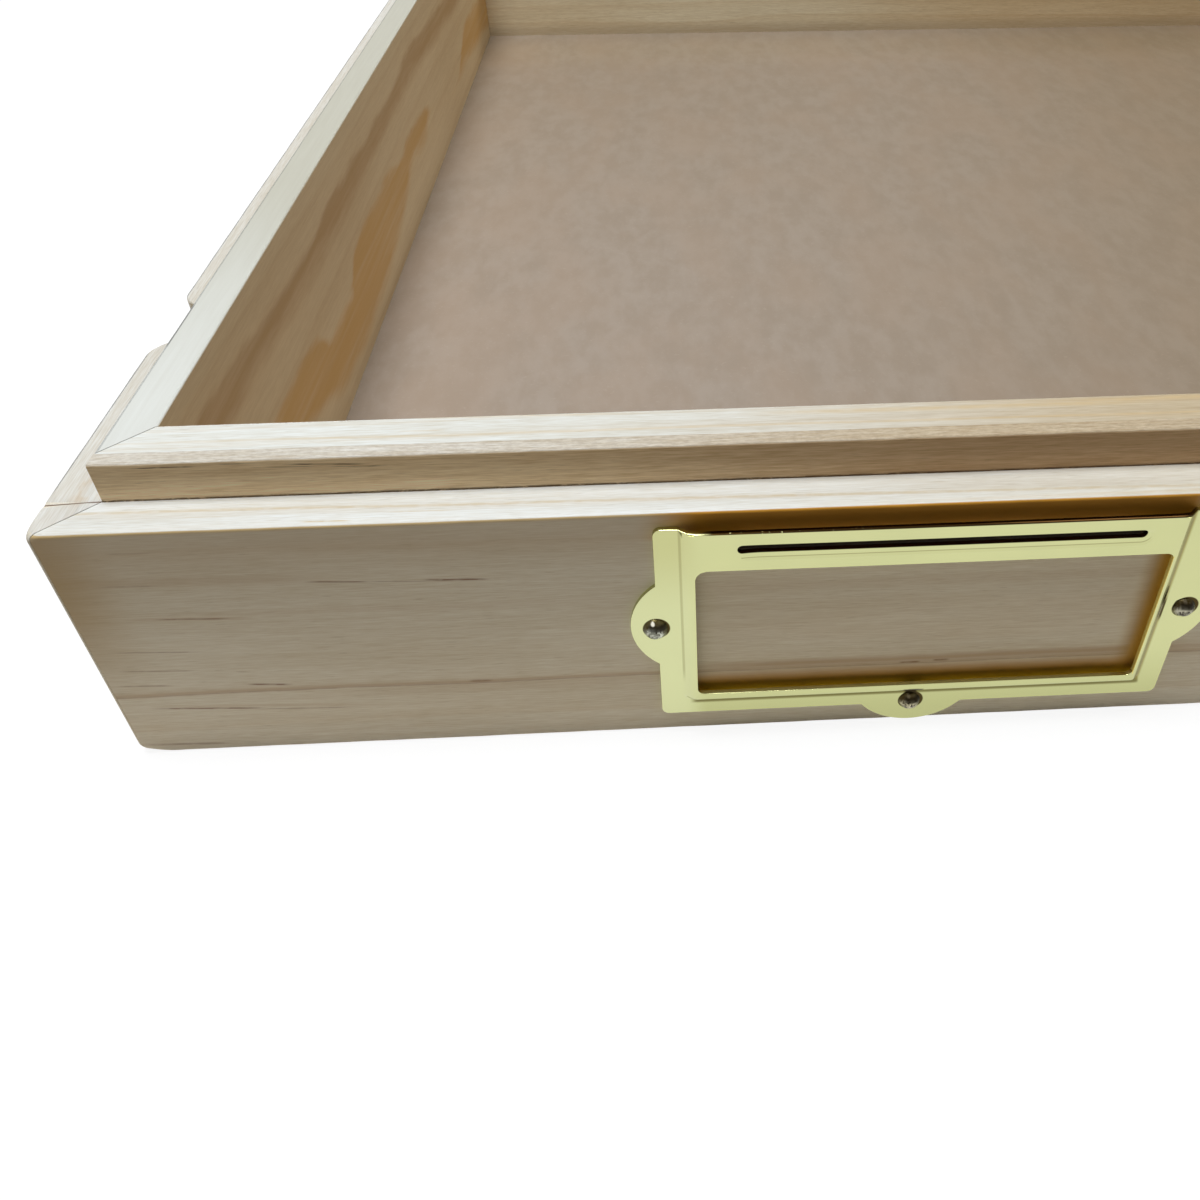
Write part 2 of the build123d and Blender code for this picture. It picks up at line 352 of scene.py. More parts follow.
table()
studio_world()
soft_lamp("overhead", place=(-0.30, -0.14, 1.0), target=(-0.25, -0.10, 0.0), size=0.4, power=9.6,
          color=(0.96, 1.0, 1.05))
soft_lamp("warm_back", place=(0.55, 0.95, 1.1), target=(0.0, 0.35, 0.0), size=0.5, power=5.5,
          color=(1.0, 0.86, 0.70))

# %% [markdown]
# ## Pine
#
# Planed pine is pale earlywood crossed by thin, darker latewood. The lines are slices through growth rings,
# which are cylinders around the heart of the tree. So the wood is made as a solid: the distance of a point
# from a heart that runs along the board, divided by the ring gap, gives its place in a ring, and every face
# of the board then shows the right slice. Noise bends the rings, long thin noise makes the fibres, and a few
# resin streaks are placed one by one, because the eye looks for those.
#
# All of it is read from Object coordinates in millimetres, with the grain turned onto the first axis.

# %% Grain space and rings
RING_WANDER = 5.0


def grain_space(tree, grain):
    """Object coordinates in millimetres as (along the grain, across, up)."""
    place = add("ShaderNodeTexCoord", {}, tree).outputs["Object"]
    turn = -math.pi / 2 if grain == "y" else 0.0
    inputs = {"Vector": place, "Scale": (1 / MM, 1 / MM, 1 / MM), "Rotation": (0.0, 0.0, turn)}
    return add("ShaderNodeMapping", inputs).outputs[0]


def ring_profile(phase):
    """Tone of a growth ring: rises slowly to latewood, then falls back within a tenth of the gap."""
    ramp = add("ShaderNodeValToRGB", {0: calc("FRACT", phase)})
    stops = ramp.color_ramp.elements
    stops[1].color = stops[0].color
    for position, tone in ((0.45, 0.12), (0.78, 0.55), (0.90, 1.0), (0.96, 0.25)):
        stops.new(position).color = (tone, tone, tone, 1)
    return ramp.outputs[0]


def ring_tone(space, heart, gap):
    """Growth rings round a heart at (across, up), with their gap in millimetres and bent by noise."""
    bent = noise(space, (150, 22, 22))
    local = noise(space, (30, 6, 6))
    inputs = {"Vector": space, "Location": (0.0, -heart[0], -heart[1]), "Scale": (0.0, 1.0, 1.0)}
    arm = add("ShaderNodeMapping", inputs).outputs[0]
    radius = add("ShaderNodeVectorMath", {0: arm}, operation="LENGTH").outputs["Value"]
    radius = calc("MULTIPLY_ADD", bent, RING_WANDER, radius)
    radius = calc("MULTIPLY_ADD", local, RING_WANDER * 0.15, radius)
    return ring_profile(calc("DIVIDE", radius, gap))


# %% [markdown]
# A resin streak is a soft line: dark where a point is near its centre line, and fading at both ends. As one
# node group it can be dropped in many times, each time with its own place and size.

# %% The streak group
STREAK_INPUTS = ("Along", "Height", "Middle", "Level", "Half length", "Half width", "Slope")


def streak_group():
    """Node group: 1 on a streak's centre line, 0 outside its half width and half length."""
    group = bpy.data.node_groups.new("resin_streak", "ShaderNodeTree")
    face = group.interface
    for name in STREAK_INPUTS:
        face.new_socket(name, in_out="INPUT", socket_type="NodeSocketFloat")
    face.new_socket("Tone", in_out="OUTPUT", socket_type="NodeSocketFloat")
    given = group.nodes.new("NodeGroupInput").outputs
    offset = minus(given["Along"], given["Middle"])
    line = calc("MULTIPLY_ADD", offset, given["Slope"], given["Level"])
    aside = away(given["Height"], line)
    aside = calc("DIVIDE", aside, given["Half width"])
    reach = calc("DIVIDE", calc("ABSOLUTE", offset), given["Half length"])
    body = fade(aside, 0.0, 1.0)
    ends = fade(reach, 0.45, 1.0)
    output = group.nodes.new("NodeGroupOutput")
    group.links.new(calc("MULTIPLY", body, ends), output.inputs["Tone"])
    return group


STREAK = streak_group()


def streaks(space, marks, height_axis="Z", wobble=0.5, broken=0.0):
    """Merges streaks (middle, level, half length, half width, slope, strength); broken frays them."""
    place = axes(space)
    height = swayed(place[height_axis], noise(space, (28, 400, 400), 3.0), wobble * 2)
    total = None
    for *shape, strength in marks:
        inputs = dict(zip(STREAK_INPUTS, (place["X"], height, *shape)))
        made = add("ShaderNodeGroup", inputs, node_tree=STREAK)
        tone = calc("MULTIPLY", made.outputs[0], strength)
        total = tone if total is None else calc("MAXIMUM", total, tone)
    if broken:
        fray = noise(space, (2.2, 0.5, 0.5))
        total = calc("MULTIPLY", total, step(fray, 0.36, 0.56, 1.0 - broken, 1.0))
    return total


# %% [markdown]
# The finish itself: rings tint the earlywood, fibres of two lengths and a slow cloud modulate it between a
# brown and a cool tone, short dark dashes stand for resin canals, and a few soft bands and thin frayed
# streaks are placed one by one. A board's own `tint` comes last, for the changes of colour that run across
# all of this.

# %% The pine finish
BROWN_SIDE = (0.80, 0.72, 0.61)
COOL_SIDE = (1.14, 1.15, 1.17)
BAND_COLOR = (0.50, 0.34, 0.20)
MARK_COLOR = (0.26, 0.13, 0.07)
BLOTCH = 0.06


def pine(name, grain, heart, gap, early, late, rings, fibre=0.10, dashes=0.35, bands=(), marks=(),
         relief=0.25, rough=0.55, tint=None):
    """Planed pine; `tint` is a function of (space, color) that returns the board's own last colour."""
    material, tree, shader = new_material(name)
    space = grain_space(tree, grain)
    tone = calc("MULTIPLY", ring_tone(space, heart, gap), rings)
    fine = noise(space, (4.2, 0.22, 0.22), 2.0, 0.6)
    medium = noise(space, (24.0, 0.8, 0.8), 3.0, 0.6)
    slow = noise(space, (110.0, 12.0, 12.0))
    color = mix(tone, early, late)
    shade = swayed(swayed(0.5, fine, fibre * 12), medium, fibre * 8)
    shade = swayed(shade, slow, BLOTCH * 16, clamp=True)
    color = tinted(color, mix(shade, BROWN_SIDE, COOL_SIDE))
    canals = step(noise(space, (3.2, 0.16, 0.16), 1.0), 0.64, 0.76)
    color = paint(color, tuple(0.62 * c for c in late), canals, dashes)
    if bands:
        color = mix(streaks(space, bands), color, BAND_COLOR)
    if marks:
        color = mix(streaks(space, marks, broken=0.4), color, MARK_COLOR)
    if tint:
        color = tint(space, color)
    height = calc("MULTIPLY_ADD", tone, 0.3, fine)
    give(shader, {"Base Color": color, "Normal": bump(height, relief, 0.00008),
                        "Roughness": rough, "Specular IOR Level": 0.3})
    return material


# %% [markdown]
# ## Boards
#
# A board of a mitred frame is a profile carried along a path. Seen from above, the path of each point of the
# profile runs parallel to the board's outer face, turns round the case's eased corner on a smaller arc the
# deeper the point lies, and stops at the mitre. The mitre is the line on which distance along plus depth
# stays the same, so the two formulas meet there exactly. A joint gap of a tenth of a millimetre at
# each mitre reads as the hairline that glued boards always show.
#
# The alternative, a box with a Bevel modifier and a boolean cut for each mitre, gives ragged triangles just
# where the light catches the edge.

# %% Path of a board in plan
JOINT = 0.09
STATION_STEP = 1.5
CORNER_ZONE = 6.2
CORNER_STEP = 0.2


def half_path(depth, stations, reach, corner, inner_reach, thickness):
    """Plan position of each profile row at each station along one half of a board, from its middle.

    depth: column of depths behind the outer face. reach: half the outer face. corner: radius of the case's
    corner. inner_reach, thickness: the inner end of the mitre. Returns (along, behind) as two grids.
    """
    line = inner_reach + thickness - JOINT
    radius = np.maximum(corner - depth, 0.0)
    turning = radius > 1e-6
    safe = np.where(turning, radius, 1.0)
    lean = np.clip((line - reach) / (math.sqrt(2) * safe), -1.0, 1.0)
    angle = np.clip(math.pi / 4 + np.arcsin(lean), 0.0, math.pi / 2)
    turns = turning & (angle > 0)
    straight = np.where(turns, reach - corner, line - depth)
    bend = np.where(turns, radius * angle, 0.0)
    past = turns & (angle > math.pi / 2 - 1e-9)
    rest = np.where(past, np.maximum(line - reach + depth - corner, 0.0), 0.0)
    travel = np.minimum(stations[None, :], straight + bend + rest)
    turned = np.clip(travel - straight, 0.0, bend) / safe
    along = np.minimum(travel, straight) + radius * np.sin(turned)
    behind = depth + radius * (1 - np.cos(turned)) + np.clip(travel - straight - bend, 0.0, rest)
    return along, behind


def stations_for(reach, extra=()):
    """Distances from the middle of a board: even, then close together round the corner."""
    near = np.arange(reach - CORNER_ZONE, reach + 1.5, CORNER_STEP)
    even = np.linspace(0.0, reach - CORNER_ZONE, int(reach / STATION_STEP), endpoint=False)
    return np.unique(np.concatenate([even, near, np.array(extra, float)]))


# %% Profiles


def quarter(center, radius, start, steps=5):
    """Points of a quarter circle in (depth, height), turning clockwise from the angle start in degrees."""
    angles = np.radians(start - np.linspace(0, 90, steps + 1))
    return [(center[0] + radius * math.cos(a), center[1] + radius * math.sin(a)) for a in angles]


def with_support(points, close=0.06):
    """Adds a point just inside both ends of every long edge, which keeps flat faces flat when shaded."""
    loop = np.array(points, float)
    ahead = np.roll(loop, -1, axis=0)
    rows = []
    for here, there in zip(loop, ahead):
        rows.append(here)
        length = np.linalg.norm(there - here)
        if length > 4 * close:
            rows.append(here + (there - here) * close / length)
            rows.append(there - (there - here) * close / length)
    return np.array(rows)


# %% [markdown]
# A real arris is never dead straight: sandpaper takes a little more here and a little less there. `waver`
# adds up four slow waves of unrelated length, which never repeat along a board, and moves only the points
# near an outer edge.

# %% Waver and placing
SIDES = {"front": 0, "left": 3, "back": 2, "right": 1}
OUTER_SEED, LINER_SEED, RAIL_SEED, BEAD_SEED, STRIP_SEED = 1, 11, 21, 31, 31
WAVER_DEPTH = 0.6
WAVE_LENGTHS = (7.3, 12.9, 23.7, 61.0)


def waver(along, seed, size):
    """Slow irregular wave along a board, about +-size."""
    shifts = np.random.default_rng(seed).uniform(0, 2 * math.pi, len(WAVE_LENGTHS))
    waves = [np.sin(along * 2 * math.pi / length + shift) for length, shift in zip(WAVE_LENGTHS, shifts)]
    return size * sum(waves) / 2.2


def to_world(side, along, behind, faces):
    """Turn a board's own (along, behind) into plan coordinates; faces are the frame's outer faces."""
    half_x, front, back = faces
    middle = (front + back) / 2
    if side == "front":
        return along, front + behind
    if side == "back":
        return -along, back - behind
    if side == "left":
        return -half_x + behind, middle - along
    return half_x - behind, middle + along


# %% Make a mesh
MERGE, SLIVER = 2e-6, 1e-7


def make_mesh(name, points, faces, material, smooth_angle=40.0):
    """A mesh in metres from millimetre points, with doubles merged and faces turned outwards."""
    mesh = bpy.data.meshes.new(name)
    mesh.from_pydata((np.asarray(points) * MM).tolist(), [], faces)
    shape = bmesh.new()
    shape.from_mesh(mesh)
    bmesh.ops.remove_doubles(shape, verts=shape.verts, dist=MERGE)
    bmesh.ops.dissolve_degenerate(shape, edges=shape.edges, dist=SLIVER)
    bmesh.ops.recalc_face_normals(shape, faces=shape.faces)
    shape.to_mesh(mesh)
    shape.free()
    mesh.shade_smooth()
    mesh.set_sharp_from_angle(angle=math.radians(smooth_angle))
    made = bpy.data.objects.new(name, mesh)
    made.data.materials.append(material)
    bpy.context.scene.collection.objects.link(made)
    return made


def grid_faces(rows, columns):
    """Quads between neighbouring rows and columns; the rows close into a loop."""
    here = np.arange(rows * columns).reshape(rows, columns)
    above = np.roll(here, -1, axis=0)
    quads = np.stack([here[:, :-1], here[:, 1:], above[:, 1:], above[:, :-1]], axis=-1)
    return quads.reshape(-1, 4).tolist()


def sweep(name, points, material, place=None):
    """A board's mesh from a grid of points, (row of the profile, station, xyz), with both ends capped."""
    count, length = points.shape[:2]
    points = points.reshape(-1, 3)
    starts = range(0, count * length, length)
    caps = [list(starts), [start + length - 1 for start in starts][::-1]]
    return make_mesh(name, place(points) if place else points, grid_faces(count, length) + caps, material)


# %% Sweep a profile into a board


def board(name, side, profile, faces, inner, corner, material, seed, uneven=0.03, extra=(), shape_rows=None,
          place=None):
    """One board of a mitred frame.

    profile: closed loop of (depth, height). faces: (half_x, front, back) of the frame's outer faces.
    inner: (half_x, front, back) of the mitres' inner ends. shape_rows: changes (along, behind, height).
    place: moves the finished points.
    """
    rows = with_support(profile)
    depth = rows[:, :1]
    lengthwise = side in ("front", "back")
    reach = faces[0] if lengthwise else (faces[2] - faces[1]) / 2
    middle = (faces[1] + faces[2]) / 2
    if lengthwise:
        ends = (inner[0], inner[0])
        thickness = inner[1] - faces[1] if side == "front" else faces[2] - inner[2]
    else:
        front_end, back_end = middle - inner[1], inner[2] - middle
        ends = (back_end, front_end) if side == "left" else (front_end, back_end)
        thickness = faces[0] - inner[0]
    stations = stations_for(reach, extra)
    first, second = (half_path(depth, stations, reach, corner, end, thickness) for end in ends)
    along, behind = (np.concatenate([sign * one[:, :0:-1], other], axis=1)
                     for sign, one, other in zip((-1, 1), first, second))
    height = np.repeat(rows[:, 1:], along.shape[1], axis=1)
    edge = np.clip(1 - (depth - depth.min()) / WAVER_DEPTH, 0, 1)
    behind = behind + edge * waver(along, seed, uneven)
    if shape_rows:
        along, behind, height = shape_rows(rows, along, behind, height)
    x, y = to_world(side, along, behind, faces)
    return sweep(name, np.stack([x, y, height], axis=-1), material, place)


def fit(piece, body, slot, *nodes):
    """The piece rides on a body and stands for construction nodes; slot is not used."""
    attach(piece, body)
    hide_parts(*nodes)
    print(piece.name, "for", *nodes, "on", body, len(piece.data.polygons), "faces")


# %% [markdown]
# ## Outer boards
#
# Each outer board is eased at its foot and at the ledge, rebated for the floor panel, and the side boards
# have a scoop for a fingertip. In plan the scoop is a circle whose rim is blended into the face by two
# smaller arcs, so its depth is a formula of the distance from its middle. The front board keeps the fine saw
# score that runs along the foot of the lip and on across the side boards.

# %% Outer board profiles
FOOT_ROUND = 0.8
WORN_FOOT, WORN_LEDGE = (2.3, 6.0), (1.2, 3.0)
FOOT_ROWS, LEDGE_ROWS = (1.1, 1.5, 2.0, 2.6), (1.3, 0.9, 0.65)
CORNER_ROUND = 1.0
ARRIS = 0.4
PANEL_SEAT = PANEL_REACH - WALL_X + 0.1
SCORE_WIDTH = 0.16
SCORE_DEPTH = 0.35
SCORE_LINE = WALL_FRONT - SCORE_WIDTH
OUTER_FACES = (HALF_WIDTH, FRONT, BACK)
OUTER_INNER = (WALL_X, WALL_FRONT, WALL_BACK)


def outer_profile(thickness, scored):
    """Loop of an outer board: foot, outer face, ledge, inner face, panel rebate."""
    loop = [(FOOT_ROWS[-1], 0.0)] + quarter((FOOT_ROUND, FOOT_ROUND), FOOT_ROUND, 270)
    loop += [(0.0, height) for height in FOOT_ROWS]
    if not scored:
        loop += [(0.0, NOTCH_FLOOR - 0.01), (0.0, NOTCH_FLOOR)]
    loop += [(0.0, LEDGE - down) for down in LEDGE_ROWS]
    loop += quarter((ARRIS, LEDGE - ARRIS), ARRIS, 180)
    if scored:
        loop += [(thickness - SCORE_WIDTH, LEDGE), (thickness - SCORE_WIDTH, LEDGE - SCORE_DEPTH),
                 (thickness, LEDGE - SCORE_DEPTH)]
    else:
        loop += [(thickness, LEDGE)]
    return loop + [(thickness, PANEL), (thickness - PANEL_SEAT, PANEL), (thickness - PANEL_SEAT, 0.0)]


def wear_corners(points):
    """Rounds the case's four corner edges where they meet the foot and, less, where they meet the ledge.

    At a distance t < R from that end a corner edge moves in along both sides by R - sqrt(R^2 - (R - t)^2), as
    in a round of radius R, and the move fades with the square of the distance from the edge.
    """
    x, y, z = points.T
    ahead = y - (FRONT + BACK) / 2
    distance = np.maximum(HALF_WIDTH - np.abs(x), (BACK - FRONT) / 2 - np.abs(ahead))
    move = 0
    for from_end, radius, reach in ((z, *WORN_FOOT), (LEDGE - z, *WORN_LEDGE)):
        rise = np.clip(radius - from_end, 0, radius)
        move = move + (radius - np.sqrt(radius**2 - rise**2)) * np.clip(1 - distance / reach, 0, 1) ** 2
    return points - np.stack([np.sign(x) * move, np.sign(ahead) * move, 0 * z], axis=1)


# %% The finger notch and the saw score
NOTCH_Y, NOTCH_FLOOR = FRONT + 58.0, LEDGE - 16.0
NOTCH_RADIUS, NOTCH_DEPTH, NOTCH_BLEND = 9.0, 5.5, 5.0
NOTCH_ROOM, NOTCH_STEP = 12, 0.4


def notch_depth(distance):
    """Depth of the finger scoop at a distance along the board from its middle."""
    centre = NOTCH_RADIUS - NOTCH_DEPTH
    blend_at = math.sqrt((NOTCH_RADIUS + NOTCH_BLEND) ** 2 - (centre + NOTCH_BLEND) ** 2)
    touch = blend_at * NOTCH_RADIUS / (NOTCH_RADIUS + NOTCH_BLEND)
    off = np.abs(distance)
    bowl = np.sqrt(np.maximum(NOTCH_RADIUS**2 - off**2, 0)) - centre
    lead = NOTCH_BLEND - np.sqrt(np.maximum(NOTCH_BLEND**2 - (blend_at - off) ** 2, 0))
    return np.where(off < touch, bowl, np.where(off < blend_at, lead, 0.0))


def side_shaper(side):
    """Scoops the finger notch and scores the ledge of a side board."""
    sign = -1.0 if side == "left" else 1.0

    def shape(rows, along, behind, height):
        y = sign * along
        face = (rows[:, :1] < ARRIS + 0.1) & (rows[:, 1:] >= NOTCH_FLOOR)
        behind = behind + np.where(face, notch_depth(y - NOTCH_Y), 0.0)
        scored = (y > SCORE_LINE - 1e-3) & (y < WALL_FRONT + 1e-3)
        height = np.where(scored, np.minimum(height, LEDGE - SCORE_DEPTH), height)
        return along, behind, height

    return shape


# %% Streaks of the front board
WALL_LATE = (0.68, 0.55, 0.38)
FRONT_BANDS = [
    (-60.0, 13.95, 420.0, 0.75, 0.001, 0.6), (-118.0, 14.7, 55.0, 1.4, 0.003, 0.75),
    (-225.0, 14.0, 60.0, 1.4, 0.0, 0.25), (-150.0, 12.7, 95.0, 1.8, 0.0, 0.22),
    (-234.0, 36.9, 26.0, 1.5, -0.03, 0.27), (-233.0, 29.5, 11.0, 0.6, -0.04, 0.35),
    (-205.0, 30.2, 40.0, 1.2, 0.0, 0.16), (-120.0, 31.5, 60.0, 1.6, 0.0, 0.16),
    (-228.0, 10.2, 20.0, 0.6, -0.05, 0.3), (-150.0, 42.5, 110.0, 3.0, 0.0, 0.16),
    (30.0, 30.0, 90.0, 1.8, 0.01, 0.25), (160.0, 21.0, 110.0, 2.2, -0.01, 0.3),
]
FRONT_MARKS = [
    (-60.0, 13.6, 420.0, 0.24, 0.001, 0.4), (-193.5, 13.9, 2.2, 0.55, 0.0, 0.55),
    (-126.0, 13.8, 2.0, 0.38, 0.0, 0.85), (-121.0, 14.1, 1.6, 0.36, 0.0, 0.85),
    (-236.0, 10.1, 9.5, 0.26, -0.07, 0.95), (-221.0, 9.1, 9.0, 0.22, -0.04, 0.45),
    (-244.0, 15.9, 4.5, 0.28, -0.06, 0.55), (-225.5, 14.9, 3.8, 0.3, -0.05, 0.9),
    (-232.5, 29.4, 6.0, 0.2, -0.05, 0.85), (-240.0, 23.0, 7.5, 0.18, -0.06, 0.6),
    (-241.0, 19.0, 6.5, 0.2, -0.06, 0.6), (-210.5, 35.6, 5.0, 0.2, -0.03, 0.9),
    (-202.0, 35.4, 5.0, 0.16, -0.03, 0.5), (-194.0, 35.4, 5.5, 0.3, -0.04, 1.0),
    (-242.0, 1.9, 8.0, 0.45, -0.05, 0.55), (-237.0, 42.3, 4.0, 0.22, -0.03, 0.3),
    (-239.5, 36.3, 5.0, 0.24, -0.04, 0.35), (-20.0, 31.0, 12.0, 0.22, -0.02, 0.7),
    (70.0, 25.5, 9.0, 0.22, 0.02, 0.7), (150.0, 34.0, 14.0, 0.26, 0.01, 0.7),
    (215.0, 22.0, 8.0, 0.22, -0.02, 0.7),
]
LEDGE_MARKS = [
    (-150.0, -196.9, 170.0, 0.55, -0.0155, 0.45), (-30.0, -198.6, 120.0, 0.5, 0.006, 0.35),
    (120.0, -196.0, 110.0, 0.6, -0.01, 0.4), (-210.0, -199.0, 4.0, 0.25, 0.0, 0.75),
    (-197.0, -197.4, 6.0, 0.2, 0.0, 0.4), (-226.0, -197.2, 5.0, 0.2, 0.0, 0.25),
]
# Edges of the painted amber light and shade round the holder.
GLOW_LOW, GLOW_TOP, GLOW_RIGHT = 12.4, 41.2, -91.3
GLOW_ENDS = (-160.5, -87.0)

# %% Tints of the outer boards


def on_ledge(z):
    """1 on the ledge, 0 on the faces below it."""
    return band(z, LEDGE - 0.08, soft=0.04)


def front_tint(space, color):
    """Brown left end and arris, a pale ledge with painted sheen, and painted shade and amber light round the
    holder.
    """
    x, y, z = axes(space)
    ledge = on_ledge(z)
    face = band(y, high=FRONT + 0.2, soft=0.1)
    left_end = step(x, -250.0, -238.0, 0.85, 0.0)
    color = paint(color, (0.50, 0.35, 0.165), face, left_end, step(z, 8.0, 40.0, 0.1, 1.0))
    # Painted shade: the face darker towards the ledge, where less light comes up from the paper.
    color = paint(color, (0.62, 0.50, 0.35), face, step(z, 34.0, 46.0, 0.0, 0.35))
    arris = both(minus(1.0, ledge), band(z, LEDGE - 0.4, soft=0.25), 0.9)
    color = paint(color, (0.66, 0.46, 0.20), arris, band(y, high=FRONT + 1.0))
    # The ledge is pale and cool at the left and warmer to the right: partly the wood's tone, partly painted
    # sheen.
    pale = mix(step(x, -185.0, -50.0), (1.02, 1.10, 1.22), (0.90, 0.89, 0.845))
    color = tinted(color, pale, ledge)
    color = paint(color, (0.58, 0.40, 0.15), ledge, streaks(space, LEDGE_MARKS, "Y", 0.3, 0.5))
    ends = band(x, *GLOW_ENDS, soft=1.5)
    window = band(z, 8.0, 37.0)
    # Painted warm light off the brass on the wood seen through the window.
    color = tinted(color, (0.98, 0.955, 0.92), both(face, ends, window))
    # Painted shade and amber reflected light beside the window's right rim.
    beside = both(step(x, GLOW_RIGHT - 2.2, GLOW_RIGHT + 1.8), band(x, high=GLOW_ENDS[1]))
    tone = mix(step(x, -91.4, -88.8), (0.46, 0.27, 0.08), (0.90, 0.50, 0.07))
    color = paint(color, tone, beside, window, face)
    # Painted shade and amber reflected light under the window's lower rim.
    under = both(ends, fade(z, GLOW_LOW - 1.7, GLOW_LOW + 1.7), band(z, 7.0))
    tone = mix(step(z, 9.6, 11.6), (1.0, 0.60, 0.03), (0.66, 0.32, 0.05))
    color = paint(color, tone, under, face)
    # Painted shade: near black wood behind the holder, seen through the slot.
    color = paint(color, (0.03, 0.012, 0.002), face, band(z, 37.3, 41.0, 0.3), ends)
    # Painted shade and amber reflected light above the holder's top edge.
    above = both(band(z, GLOW_TOP, soft=0.5), step(x, -168.5, -158.5))
    return paint(color, (0.66, 0.30, 0.028), face, above, band(x, high=GLOW_ENDS[1], soft=1.8))


def side_tint(space, color):
    """The side boards' ledges are a little darker than their faces; painted shade darkens the outer arris."""
    x, y, z = axes(space)
    ledge = on_ledge(z)
    color = tinted(color, (0.86, 0.89, 0.96), ledge)
    # Painted shade: a dark line on the outer arris, for the shaded outer face seen edge-on.
    outer = band(calc("ABSOLUTE", y), HALF_WIDTH - 0.42)
    color = paint(color, (0.14, 0.15, 0.15), outer, band(z, LEDGE - 0.9), step(x, -193.0, -188.0, 0.0, 0.7))
    patch = step(noise(space, (3.5, 1.6, 3.0)), 0.38, 0.58)
    color = paint(color, (0.60, 0.45, 0.28), ledge, patch, band(x, -193.0, -184.0, 1.8),
                  band(y, 242.4, 246.6, 0.9), 0.5)
    score = band(x, SCORE_LINE - 0.06, SCORE_LINE + SCORE_WIDTH + 0.06, 0.05)
    return paint(color, (0.16, 0.10, 0.06), band(z, LEDGE - 0.5), score)


# %% Make the outer boards
outer_pine = {
    "front": pine("front_pine", "x", heart=(-168.0, 24.0), gap=5.0, early=(0.81, 0.775, 0.685),
                  late=WALL_LATE, rings=0.22, fibre=0.08, bands=FRONT_BANDS, marks=FRONT_MARKS,
                  tint=front_tint),
    "left": pine("side_pine", "y", heart=(300.0, 10.0), gap=3.6, early=(0.80, 0.77, 0.67),
                 late=WALL_LATE, rings=0.35, tint=side_tint),
    "back": pine("back_pine", "x", heart=(150.0, 60.0), gap=4.4, early=(0.79, 0.74, 0.62),
                 late=WALL_LATE, rings=0.45),
}
notch_stations = [abs(v) for v in (SCORE_LINE, SCORE_LINE + 0.01, WALL_FRONT - 0.01, WALL_FRONT)]
notch_stations += np.arange(-NOTCH_Y - NOTCH_ROOM, -NOTCH_Y + NOTCH_ROOM, NOTCH_STEP).tolist()
thickness_of = {"front": WALL_FRONT - FRONT, "back": BACK - WALL_BACK}
outer_pine["right"] = outer_pine["left"]
for side in ("front", "back", "left", "right"):
    profile = outer_profile(thickness_of.get(side, HALF_WIDTH - WALL_X), side == "front")
    extras = {}
    if side in ("left", "right"):
        extras = {"extra": notch_stations, "shape_rows": side_shaper(side)}
    piece = board(f"{side}_board", side, profile, OUTER_FACES, OUTER_INNER, CORNER_ROUND, outer_pine[side],
                  seed=SIDES[side] + OUTER_SEED, place=wear_corners, **extras)
    fit(piece, "case", "pine_wall", f"{side}_wall")

# %% [markdown]
# ## Liner, lip and packing strip
#
# The liner boards stand on the floor panel inside the outer boards and reach above the ledge. At the front a
# strip straight from the saw fills the space between liner and outer board. It keeps its saw marks, so it
# looks duller and rougher than the planed lip beside it.

# %% Profile of the liner
LIP_ARRIS = 0.3
LINER_FACES = (WALL_X, LINER_FRONT, WALL_BACK)
LINER_INNER = (ROOM_X, ROOM_FRONT, ROOM_BACK)


def liner_profile(thickness, outer_eased=True):
    """Loop of a liner board; its seam against the packing strip stays sharp."""
    loop = [(0.0, PANEL)]
    loop += quarter((LIP_ARRIS, LIP - LIP_ARRIS), LIP_ARRIS, 180) if outer_eased else [(0.0, LIP)]
    loop += quarter((thickness - LIP_ARRIS, LIP - LIP_ARRIS), LIP_ARRIS, 90)
    return loop + [(thickness, PANEL)]


# %% Heartwood of the left liner board
LINER_THICKNESS = WALL_X - ROOM_X
ROOM_DEPTH, CURVE_TOP = 370.0, 50.0
UPPER_BAND = [
    (0, 45.4, 37.5), (35, 45.2, 38.0), (50, 43.6, 37.0), (80, 42.2, 36.0), (100, 43.4, 36.0),
    (150, 42.6, 36.0), (180, 43.4, 36.5), (205, 45.3, 37.0), (240, 43.2, 35.0), (370, 40.0, 30.0),
]
LOWER_BAND = [
    (0, 27.5, 20.0), (40, 27.0, 17.0), (68, 26.6, 11.0), (80, 20.5, 7.5), (98, 21.0, 7.0),
    (110, 27.4, 7.0), (150, 27.6, 10.0), (170, 26.0, 15.0), (186, 27.0, 18.0), (204, 26.5, 17.0),
    (222, 22.0, 21.0), (270, 14.0, 13.5), (310, 24.0, 12.0), (370, 21.0, 6.0),
]


def level(along, rows, column):
    """Height that follows a column of a table over the distance from the inside front, as a smooth curve."""
    curve = add("ShaderNodeFloatCurve", {"Value": calc("DIVIDE", along, ROOM_DEPTH)})
    points = curve.mapping.curves[0].points
    while len(points) < len(rows):
        points.new(0.5, 0.5)
    for point, row in zip(points, rows):
        point.location = (row[0] / ROOM_DEPTH, row[column] / CURVE_TOP)
    curve.mapping.update()
    return calc("MULTIPLY", curve.outputs[0], CURVE_TOP)


